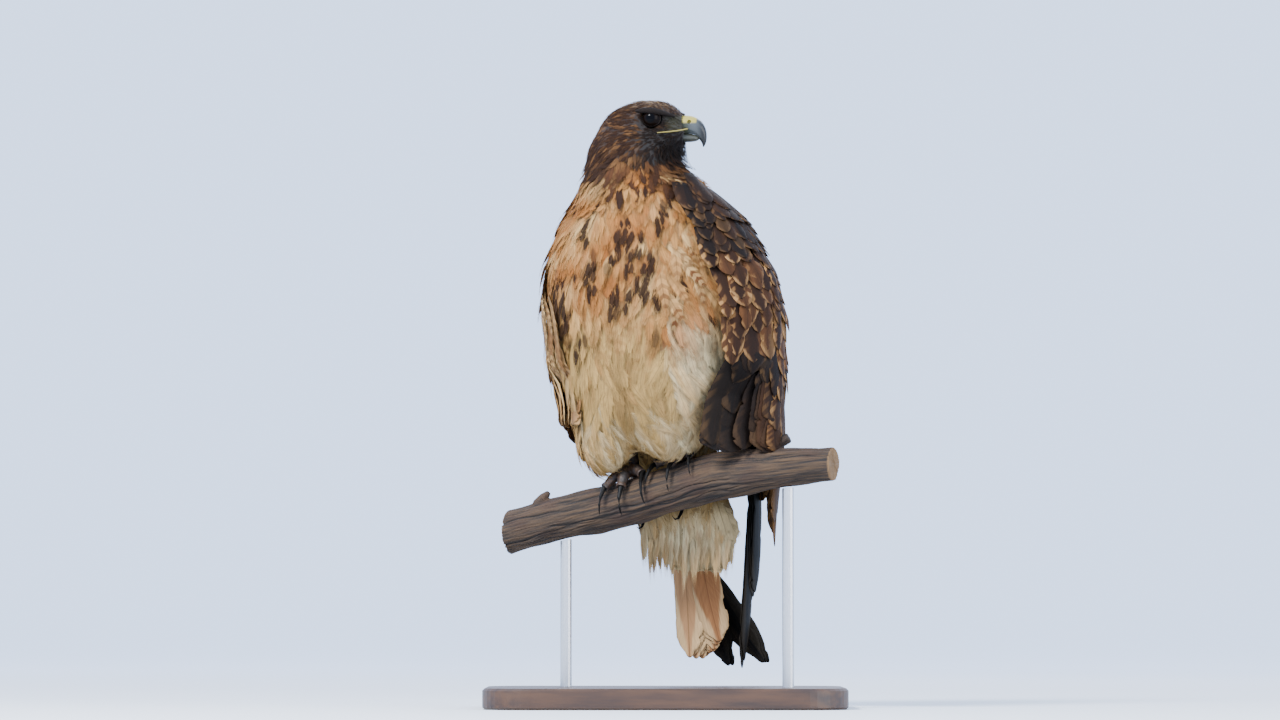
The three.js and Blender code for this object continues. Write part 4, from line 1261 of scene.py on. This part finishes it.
def wing_feathers(side_name, side):
    """The stiff feathers of one wing, and the soft barred ones at the breast's side."""
    radii = wing_shell(side_name, side)
    sheets, soft_sheets = [], []
    for tier in WING_TIERS:
        length, half, lift, bars, edge, stripes, shade = tier[3:]
        for k in range(tier[2]):
            root, tip = row_places(side, tier, k)
            end, bottom = tip.T
            count = len(tip)
            p, n = shell_path(radii, side, root, tip)
            p = onto_back(p, side)
            tuck = ramp(-p[..., 2], -300 * MM, -265 * MM) * ramp(-end, -88, -66)[:, None]
            p = p - n * (tuck * TUCK_DEPTH * MM)[..., None]
            width = half * 2.0 * MM * rng.uniform(0.82, 1.22, count)
            breast_side = ramp(-end, -90, -80) * (side < 0)
            ground, spot, shares = row_colours(side, tip, bars, edge, shade, breast_side)
            number = stripes + rng.random(count)
            rise = (lift + 0.18 * k) * MM * rng.uniform(0.6, 1.3, count)
            kind = rng.integers(0, 4, count)
            kind[(breast_side > 0.5) & (bottom > 245)] = SOFT_KIND
            number = number + 3 * (kind == SOFT_KIND)
            blades = [*(LONG_STIFF if length > LONG_FROM else STIFF), LONG_PATTERNS[k % 5]]
            for which, (flat, faces) in enumerate(blades):
                ours = np.where(kind == which)[0]
                if len(ours) == 0:
                    continue
                made = grow(
                    flat,
                    p[ours],
                    n[ours],
                    width[ours],
                    np.full(len(ours), 1.3 * MM * (half / 9)),
                    np.full(len(ours), -2.6 * MM),
                    rise[ours],
                )
                looks = (number[ours], ground[ours], spot[ours], shares[ours])
                target = soft_sheets if which == SOFT_KIND else sheets
                target.append((made, flat, faces, p[ours, 0], *looks))
    return sheets, soft_sheets


wing_material = feather_material("wing feathers", linear(186, 148, 110), notched=True)
stiff_material = feather_material("long feathers", linear(240, 214, 180))
for side_name, side in (("left", 1), ("right", -1)):
    sheets, soft_sheets = wing_feathers(side_name, side)
    wing = coat_piece(f"wing_feathers_{side_name}", sheets, wing_material)
    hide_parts(f"wing_{side_name}")
    if soft_sheets:
        coat_piece(f"wing_lining_{side_name}", soft_sheets, soft_material)

# %% [markdown]
# ## Tail and wing tips
# The long feathers of the tail and the folded wing tips hang free, so they follow curves of their own
# between the places where the solids have them. The tail is seen from below, pale and pinkish, its
# outermost feathers nearest the viewer. The dark wing tips cross behind it.

# %% Long free feathers
BARS_ON_LONG = 9


def free_paths(points):
    """Smooth paths through (feather, 3 places, 3): root, bend and tip."""
    share = np.linspace(0, 1, STEPS)[None, :, None]
    a, b, c = points[:, None, 0], points[:, None, 1], points[:, None, 2]
    middle = 2 * b - (a + c) / 2
    return a * (1 - share) ** 2 + middle * 2 * share * (1 - share) + c * share**2


def free_feathers(name, points, facing, half, ground, spot, shares, replaced):
    p = free_paths(points)
    n = np.broadcast_to(facing[:, None], p.shape).copy()
    along = unit(np.gradient(p, axis=1))
    n = unit(n - along * (n * along).sum(axis=2, keepdims=True))
    sheets = []
    for k in range(len(p)):
        flat, faces = LONG_STIFF[k % 4]
        one = slice(k, k + 1)
        made = grow(
            flat,
            p[one],
            n[one],
            np.array([half * 2 * MM]),
            np.array([1.1 * MM]),
            np.array([0.0]),
            np.array([0.0]),
        )
        number = BARS_ON_LONG + rng.random(1)
        sheets.append((made, flat, faces, p[one, 2], number, ground[one], spot[one], shares[one]))
    piece = coat_piece(name, sheets, stiff_material)
    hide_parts(replaced)


print("bars on a long feather:", BARS_ON_LONG)

# %% [markdown]
# ## The tail
# Twelve feathers lie in pairs under one another, the innermost pair at the back. Their tips end at
# slightly different heights, as on a living bird, where a straight cut would look like a board.

# %% Tail
PAIRS = 6
TAIL_HALF_WIDTH = 13
TAIL_TIPS = [44, 46, 42, 47, 44, 48, 42, 50, 45, 54, 43, 57]
rows = []
for i in range(PAIRS):
    for side in (-1, 1):
        s = (i + 0.5) / PAIRS
        depth = 1.35 * i + (0.7 if side > 0 else 0)
        rows.append(
            [
                in_body(-69 + depth, 6 + side * 5 * s, 226),
                in_body(-77 + depth, 13 + side * 8 * s, 133),
                in_body(-86 + depth, 21 + side * 15 * s, TAIL_TIPS[2 * i + (side > 0)]),
            ]
        )
rows = np.array(rows)
count = len(rows)
tone = rng.random(count)
rusty = np.tile([0.12, 0.75], PAIRS) * (0.6 + 0.4 * tone)
free_feathers(
    "tail_feathers",
    rows,
    unit(FORWARD + LEFT * np.tile([[-0.16], [0.16]], (PAIRS, 1))),
    TAIL_HALF_WIDTH,
    towards(np.tile(TAIL_PINK, (count, 1)), TAIL_RUST, rusty),
    np.tile(TAIL_RUST, (count, 1)),
    np.tile(np.array([0.1, 0.0, 0.7]), (count, 1)),
    "tail",
)

# %% [markdown]
# ## The wing tips
# The longest feathers of a folded wing close like a fan into one dark point. Five of them on each side
# are enough for the eye: they share a root and a bend and end one after another.

# %% Wing tips
# near-black of the wing tips: partly the primaries' own dark brown, partly painted shade where they hang
# behind the tail
TIP_DARK_AND_SHADE = np.array(linear(4, 3, 3))
TIPS = 5
TIP_HALF_WIDTH = 12
for side_name, root, bend, tip, end, stack, facing in (
    ("left", (-52, 78, 248), (-72, 73, 165), (-95, 62, 100), (-97, 55, 34), (0.3, -1), LEFT),
    ("right", (-66, -48, 248), (-91, -20, 165), (-108, 70, 39), (-104, 36, 36), (1, 0.1), FORWARD),
):
    rows = []
    for i in range(TIPS):
        off = 1.35 * i
        share = (0, 0.06, 0.12, 0.90, 1.0)[i]
        last = [tip[k] * (1 - share) + end[k] * share for k in range(3)]
        rows.append(
            [in_body(q[0] + stack[0] * off, q[1] + stack[1] * off, q[2]) for q in (root, bend, last)]
        )
    rows = np.array(rows)
    free_feathers(
        f"wing_tip_{side_name}",
        rows,
        np.tile(facing, (TIPS, 1)),
        TIP_HALF_WIDTH,
        np.tile(TIP_DARK_AND_SHADE, (TIPS, 1)),
        np.tile(TIP_DARK_AND_SHADE * 0.5, (TIPS, 1)),
        np.tile(np.array([0.0, 0.0, 0.02]), (TIPS, 1)),
        f"primaries_{side_name}",
    )

# %% [markdown]
# ## Bill, feet, branch and stand
# These are hard or tough surfaces. Their solids already have the right shape in facets, so each is
# remeshed finely and smoothed, which keeps its place and rounds it off.

# %% Hard parts
def refined(name, node_names, cell, rounds):
    """Takes the place of the named solids: meshed anew with cells of this many millimetres."""
    obj = rounded(name, node_names, cell * MM, 0.5, rounds)
    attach(obj, "root")
    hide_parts(*node_names)
    print(name, len(obj.data.polygons), "faces")
    return obj


bill = refined("bill", ["cere", "bill_upper"], 0.5, 4)
lower_bill = refined("lower_bill", ["bill_lower"], 0.5, 3)
TOES = ("outer", "middle", "inner", "hind")
for side_name in ("left", "right"):
    refined(f"toes_{side_name}", [f"foot_{side_name}"], 0.8, 3)
    for toe in TOES:
        refined(f"claw_{side_name}_{toe}", [f"talon_{side_name}_{toe}"], 0.5, 3)


# %% [markdown]
# ## Bark of the branch
# The branch is weathered, with long cracks and low knots. A displacement modifier with a texture could
# do this, but the cracks must follow the grain, so they are worked out from the angle round the branch
# and the place along it, and the vertices are moved.

# %% Bark
CRACKS = 34


def bark(obj):
    """Long cracks and knots pressed into the branch along its grain."""
    co = vertex_values(obj.data, "co")
    n = vertex_values(obj.data, "normal")
    u, v, z, _ = body_place(co)
    round_angle = np.arctan2(z - np.interp(v, [-130, -30, 62, 165], [152, 174, 199, 208]), u)
    crack = np.zeros(len(co))
    for _ in range(CRACKS):
        start, wave, where = rng.uniform(-np.pi, np.pi), rng.uniform(0, 6), rng.uniform(-130, 165)
        reach, width = rng.uniform(18, 75), rng.uniform(0.022, 0.06)
        line = start + 0.10 * np.sin(v * 0.045 + wave) + 0.03 * np.sin(v * 0.21 + 2 * wave)
        gap = (round_angle - line + np.pi) % (2 * np.pi) - np.pi
        crack = np.maximum(crack, np.exp(-((gap / width) ** 2)) * np.exp(-(((v - where) / reach) ** 4)))
    fibre = np.sin(round_angle * 47 + 2 * np.sin(v * 0.06) + np.sin(v * 0.31 + round_angle * 5))
    knots = np.sin(v * 0.09 + 2 * round_angle) * np.sin(v * 0.047 + 1)
    push = -1.5 * crack + 0.22 * fibre + 0.7 * knots
    move_vertices(obj.data, co + n * (push * MM)[:, None])
    made = obj.data.attributes.new("crack", "FLOAT", "POINT")
    made.data.foreach_set("value", crack)
    fibres = np.stack([v * 0.0035, np.cos(round_angle), np.sin(round_angle)], axis=1)
    write_attribute(obj.data, "fibres", "FLOAT_VECTOR", fibres)


branch = refined("branch", ["perch"], 0.85, 2)
bark(branch)

# %% [markdown]
# ## Horn of the bill
# The bill is slate grey horn that darkens to its tip, and behind it sits the waxy yellow-green cere.
# They are one surface, so distances ahead of the head decide which finish shows, with a little noise
# to break the border.

# %% Bill finish
def place_along(tree, direction, origin):
    """Millimetres along a direction from a point, as a wire."""
    spot = object_place(tree)
    moved = node(tree, "ShaderNodeVectorMath", {"operation": "SUBTRACT"}, None, spot, tuple(origin))
    return node(
        tree, "ShaderNodeVectorMath", {"operation": "DOT_PRODUCT"}, "Value", moved, tuple(direction)
    ) * (1 / MM)


bill_material, tree, shader = new_material("bill horn and cere")
ahead = place_along(tree, HEAD_FORWARD, in_head(0, 0, 0))
high = place_along(tree, UP, in_head(0, 0, 0))
grain = noise(tree, 700.0, 3.0)
horn = blend(tree, ahead.between(36.0, 42.0), linear(64, 72, 64), linear(92, 102, 118))
horn = blend(tree, ahead.between(44.0, 51.5), horn, linear(26, 28, 34))
cere = blend(tree, grain.between(0.3, 0.7), linear(182, 176, 84), linear(216, 208, 128))
is_cere = (high + grain).between(2.4, 4.6) * (ahead + grain).between(46.6, 45.2)
is_horn = 1 - is_cere
colour = blend(tree, is_horn, cere, horn)
feed(
    tree,
    shader,
    Base_Color=colour,
    Roughness=0.42 - is_horn * 0.16 + grain * 0.1,
    Normal=bump(tree, grain, 0.15, 0.0003),
)
shader.inputs["Specular IOR Level"].default_value = 0.3
bill.data.materials.append(bill_material)
under_material, tree, shader = new_material("lower bill horn")
grain = noise(tree, 600.0, 3.0)
feed(tree, shader, Base_Color=blend(tree, grain, linear(40, 44, 42), linear(78, 82, 74)))
shader.inputs["Roughness"].default_value = 0.45
lower_bill.data.materials.append(under_material)
print("bill finish:", len(bill_material.node_tree.nodes), "nodes")

# %% [markdown]
# ## Claws and toes
# Claws are near-black horn. The toes have brown skin with small plates, and a cell pattern gives both
# the seams between the plates and the bump that lifts them.

# %% Claw and toe finish
claw_material, tree, shader = new_material("claw horn")
grain = noise(tree, 500.0, 3.0)
feed(
    tree,
    shader,
    Base_Color=blend(tree, grain, linear(5, 5, 6), linear(18, 17, 18)),
    Roughness=0.42 + grain * 0.15,
)
shader.inputs["Specular IOR Level"].default_value = 0.12

toe_material, tree, shader = new_material("scaled toe skin")
spot = object_place(tree)
scales = node(
    tree, "ShaderNodeTexVoronoi", {"feature": "DISTANCE_TO_EDGE"}, 0, Vector=spot, Scale=420.0
)
grain = noise(tree, 160.0, 3.0, spot)
seam = scales.between(0.12, 0.02)
skin_tone = blend(tree, grain.between(0.35, 0.65), linear(76, 49, 22), linear(32, 18, 8))
feed(
    tree,
    shader,
    Base_Color=blend(tree, seam * 0.7, skin_tone, linear(28, 18, 10)),
    Roughness=0.5 + grain * 0.2,
    Normal=bump(tree, scales, 0.5, 0.0008),
)
for side_name in ("left", "right"):
    bpy.data.objects[f"toes_{side_name}"].data.materials.append(toe_material)
    for toe in TOES:
        bpy.data.objects[f"claw_{side_name}_{toe}"].data.materials.append(claw_material)
print("toe finish:", len(toe_material.node_tree.nodes), "nodes")

# %% [markdown]
# ## Weathered wood of the branch
# The wood is brown with lighter fibres, dark cracks and paler cut ends. The fibres and the cracks were
# stored on the mesh when its surface was shaped, so colour and shape agree.

# %% Branch finish
bark_material, tree, shader = new_material("weathered branch")
lengthways = place_along(tree, LEFT, in_body(0, 0, 180))
spot = object_place(tree)
fibres = attribute(tree, "fibres", "Vector")
streaks = noise(tree, 7.0, 9.0, fibres, Roughness=0.68)
blotch = noise(tree, 38.0, 4.0, spot)
wood = blend(tree, streaks.between(0.34, 0.66), linear(20, 12, 7), linear(98, 76, 54))
wood = blend(tree, blotch.between(0.45, 0.7) * 0.55, wood, linear(66, 40, 22))
cracks = attribute(tree, "crack", "Fac")
wood = blend(tree, cracks.between(0.25, 0.9), wood, linear(24, 17, 13))
is_end = (lengthways - 17.0).size().between(146.0, 147.5)
rings = noise(tree, 140.0, 5.0, spot)
cut = blend(tree, rings, linear(112, 84, 58), linear(168, 138, 102))
wood = blend(tree, is_end, wood, cut)
feed(
    tree,
    shader,
    Base_Color=wood,
    Roughness=0.9 - streaks * 0.1,
    Normal=bump(tree, streaks, 0.9, 0.002),
)
branch.data.materials.append(bark_material)
print("branch finish:", len(bark_material.node_tree.nodes), "nodes")

# %% [markdown]
# ## The stand
# The base is stained wood with a fine straight grain, made by stretching noise, and the two rods are
# brushed steel. Both keep the plain solids, whose shape is already right.

# %% Stand finish
base_material, tree, shader = new_material("stained base wood")
spot = object_place(tree)
stretched = node(tree, "ShaderNodeMapping", None, 0, Vector=spot, Scale=(0.12, 1, 1))
streaks = noise(tree, 120.0, 5.0, stretched)
feed(
    tree,
    shader,
    Base_Color=blend(tree, streaks.between(0.3, 0.7), linear(58, 38, 26), linear(96, 66, 44)),
    Roughness=0.42 + streaks * 0.12,
    Normal=bump(tree, streaks, 0.1, 0.0004),
)
steel_material, tree, shader = new_material("brushed rod steel")
brush = noise(tree, 900.0, 2.0)
steel = blend(tree, brush, (0.50, 0.50, 0.51), (0.62, 0.62, 0.63))
feed(tree, shader, Base_Color=steel, Roughness=0.28 + brush * 0.12)
shader.inputs["Metallic"].default_value = 1.0
for name, material in (
    ("stand_base", base_material),
    ("stand_rod_left", steel_material),
    ("stand_rod_right", steel_material),
):
    nodes[name].data.materials.clear()
    nodes[name].data.materials.append(material)
    print(name, "is", material.name)

# %% [markdown]
# ## Eyes
# An adult's eye is very dark brown and wet. The ball is one smooth sphere with the pupil and iris in
# its material, set under the brow, and a thin dark lid runs round it.

# %% Eyes
def ball(name, centre, radius, rings=32):
    bpy.ops.mesh.primitive_uv_sphere_add(segments=rings * 2, ring_count=rings, radius=radius)
    obj = bpy.context.object
    obj.name = name
    obj.data.shade_smooth()
    obj.location = centre
    bpy.ops.object.transform_apply(location=True)
    return obj


PUPIL_EDGE = 3.4
IRIS_EDGE = 4.4
eye_material, tree, shader = new_material("dark wet eye")
for side_name, side in (("left", 1), ("right", -1)):
    low, high_corner = (np.array(v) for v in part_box(f"eye_{side_name}"))
    centre = (low + high_corner) / 2
    eye = ball(f"eyeball_{side_name}", centre, (high_corner - low).min() / 2)
    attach(eye, "root")
    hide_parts(f"eye_{side_name}")
    eye.data.materials.append(eye_material)
    print(eye.name, "at", centre.round(4))
middle_ahead = place_along(tree, HEAD_FORWARD, in_head(9.3, 0, 0))
middle_high = place_along(tree, UP, in_head(0, 0, 5.9))
away = (middle_ahead**2 + middle_high**2) ** 0.5
iris = blend(tree, away.between(PUPIL_EDGE, IRIS_EDGE), (0.0015, 0.0015, 0.002), (0.0036, 0.0019, 0.0013))
feed(tree, shader, Base_Color=iris)
shader.inputs["Roughness"].default_value = 0.12
shader.inputs["Specular IOR Level"].default_value = 0.04


# %% [markdown]
# ## Rods along a path
# Brows, lids and the line of the mouth are all soft ridges. A bevelled curve would make them, but its
# ends can't be thinned freely, so rings of vertices are laid round a smoothed path, each with its own
# radius.

# %% Rods along a path
def tube(name, centres, radii, sides=12, closed=False):
    """A round rod along a smooth path through the centres, with a radius at each."""
    centres, radii = np.array(centres), np.array(radii, float)
    if closed:
        centres, radii = np.vstack([centres, centres[:1]]), np.append(radii, radii[0])
    steps = np.linspace(0, len(centres) - 1, 8 * len(centres))
    if closed:
        steps = steps[:-1]
    index = np.arange(len(centres))
    path = np.stack([np.interp(steps, index, centres[:, k]) for k in range(3)], axis=1)
    size = np.interp(steps, index, radii)
    for _ in range(6):
        if closed:
            path = (np.roll(path, 1, axis=0) + np.roll(path, -1, axis=0) + 2 * path) / 4
        else:
            path[1:-1] = (path[:-2] + path[2:] + 2 * path[1:-1]) / 4
    ahead = np.roll(path, -1, axis=0) - np.roll(path, 1, axis=0) if closed else np.gradient(path, axis=0)
    ahead = unit(ahead)
    across = unit(np.cross(ahead, UP + 0.01 * FORWARD))
    over = np.cross(across, ahead)
    turn = np.linspace(0, 2 * np.pi, sides, endpoint=False)
    ring = across[:, None] * np.cos(turn)[None, :, None] + over[:, None] * np.sin(turn)[None, :, None]
    pts = (path[:, None] + ring * (size * MM)[:, None, None]).reshape(-1, 3)
    faces = []
    count = len(path)
    for i in range(count if closed else count - 1):
        for j in range(sides):
            a, b = i * sides + j, i * sides + (j + 1) % sides
            c, d = ((i + 1) % count) * sides + (j + 1) % sides, ((i + 1) % count) * sides + j
            faces.append((a, b, c, d))
    if not closed:
        faces += [tuple(range(sides))[::-1], tuple((count - 1) * sides + j for j in range(sides))]
    obj = mesh_object(name, pts, faces)
    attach(obj, "root")
    print(name, len(faces), "faces")
    return obj


# %% [markdown]
# ## Brows, lids and mouth
# The bony brow gives a hawk its stern look. It is a ridge over the eye, thickest in the middle,
# coloured near-black as painted shade over the eye, and a thin lid of dark skin follows the eye's rim.
# Where the bill opens, the skin shows as a yellow line.

# %% Brows, lids and mouth
brow_shade_and_lid_material, tree, shader = new_material("brow shade and lid skin")
grain = noise(tree, 900.0, 3.0)
# near-black: the lid's own dark skin, and on the brow painted shade, the dark line under the brow over
# the eye
tone = blend(tree, grain.between(0.35, 0.65), linear(12, 8, 7), linear(38, 26, 20))
feed(tree, shader, Base_Color=tone, Roughness=0.7 + grain * 0.2, Normal=bump(tree, grain, 0.6, 0.0006))
shader.inputs["Specular IOR Level"].default_value = 0.15
lip_material, tree, shader = new_material("yellow mouth line")
grain = noise(tree, 500.0, 3.0)
lip = blend(tree, grain, linear(134, 124, 56), linear(186, 176, 98))
feed(tree, shader, Base_Color=lip, Roughness=0.5 + grain * 0.1)
BROW = [(-4, 23.2, 12.2), (3, 26.2, 12.6), (11, 26.4, 12.0), (19, 22.8, 10.4), (28, 15.6, 8.0)]
LID_POINTS = 16
LID_RADIUS = 0.8
MOUTH = [(14.9, 25.8, -6.8), (23, 21.4, -5.8), (31, 14.9, -4.4), (38.5, 8.7, -2.4)]
for side_name, side in (("left", 1), ("right", -1)):
    line = [in_head(u, v * side, w) for u, v, w in BROW]
    brow = tube(f"brow_{side_name}", line, [1.2, 2.3, 2.7, 2.2, 1.0])
    brow.data.materials.append(brow_shade_and_lid_material)
    turn = np.linspace(0, 2 * np.pi, LID_POINTS, endpoint=False)
    rim = [
        in_head(9.3 + 7.8 * np.cos(a), (24.2 - 1.4 * abs(np.cos(a))) * side, 5.2 + 5.8 * np.sin(a))
        for a in turn
    ]
    lid = tube(f"lid_{side_name}", rim, np.full(LID_POINTS, LID_RADIUS), closed=True)
    lid.data.materials.append(brow_shade_and_lid_material)
    line = [in_head(u, v * side, w) for u, v, w in MOUTH]
    mouth = tube(f"mouth_line_{side_name}", line, [0.35, 0.55, 0.65, 0.6])
    mouth.data.materials.append(lip_material)

# %% [markdown]
# ## Floor and sky
# The model stands in a plain pale room. The floor glows a little more with distance, just enough to
# meet the colour of the sky, so that no horizon shows behind the bird.

# %% Floor and sky
bpy.ops.mesh.primitive_plane_add(size=30)
floor = bpy.context.object
floor.name = "floor"
floor_material, tree, shader = new_material("pale floor")
FLOOR_SHARE = np.array([0.62, 0.64, 0.66])
spot = object_place(tree)
far = node(tree, "ShaderNodeVectorMath", {"operation": "LENGTH"}, "Value", spot).between(0.6, 4.0)
missing = (1 - FLOOR_SHARE) * SKY_STRENGTH * SKY_COLOUR
feed(
    tree,
    shader,
    Base_Color=(*FLOOR_SHARE, 1),
    Roughness=0.9,
    Emission_Color=blend(tree, far, (0, 0, 0), tuple(missing)),
    Emission_Strength=1.0,
)
shader.inputs["Specular IOR Level"].default_value = 0.0
floor.data.materials.append(floor_material)

world = bpy.data.worlds.new("soft sky")
bpy.context.scene.world = world
world.use_nodes = True
world.node_tree.nodes["Background"].inputs["Color"].default_value = (*SKY_COLOUR, 1)
world.node_tree.nodes["Background"].inputs["Strength"].default_value = SKY_STRENGTH


print("sky strength:", SKY_STRENGTH)

# %% [markdown]
# ## Lights and camera
# Soft square lamps stand in for a window, its reflection and a light behind. The camera is far away
# with a long lens and looks slightly up, which keeps the bird's proportions free of distortion.

# %% Lights and camera
def area_light(name, place, size, power, target=(0, 0, 0.3)):
    light = bpy.data.lights.new(name, "AREA")
    light.size = size
    light.energy = power
    obj = bpy.data.objects.new(name, light)
    bpy.context.scene.collection.objects.link(obj)
    obj.location = place
    obj.rotation_euler = (Vector(target) - Vector(place)).to_track_quat("-Z", "Y").to_euler()


area_light("key", (-1.4, -1.8, 2.2), 0.8, 230)
area_light("fill", (2.2, -1.6, 1.0), 1.8, 80)
area_light("rim", (0.6, 2.0, 1.8), 1.2, 22)

VIEW_DISTANCE = 5.0
VIEW_RISE = np.radians(2.5)
FRAME_WIDTH = 1.1008
target = np.array([-21.5, 0, 299]) * MM
camera_data = bpy.data.cameras.new("camera")
camera = bpy.data.objects.new("camera", camera_data)
bpy.context.scene.collection.objects.link(camera)
camera_data.sensor_width = 36
camera_data.lens = 36 * VIEW_DISTANCE / FRAME_WIDTH
camera_data.clip_end = 100
camera.location = target + VIEW_DISTANCE * np.array([0, -np.cos(VIEW_RISE), -np.sin(VIEW_RISE)])
camera.rotation_euler = (Vector(target) - camera.location).to_track_quat("-Z", "Y").to_euler()
bpy.context.scene.camera = camera
print("lens", round(camera_data.lens, 1), "mm, camera at", [round(v, 2) for v in camera.location])

# %% [markdown]
# ## Sizes
# The dressed model must stay as large as the solids it stands for.
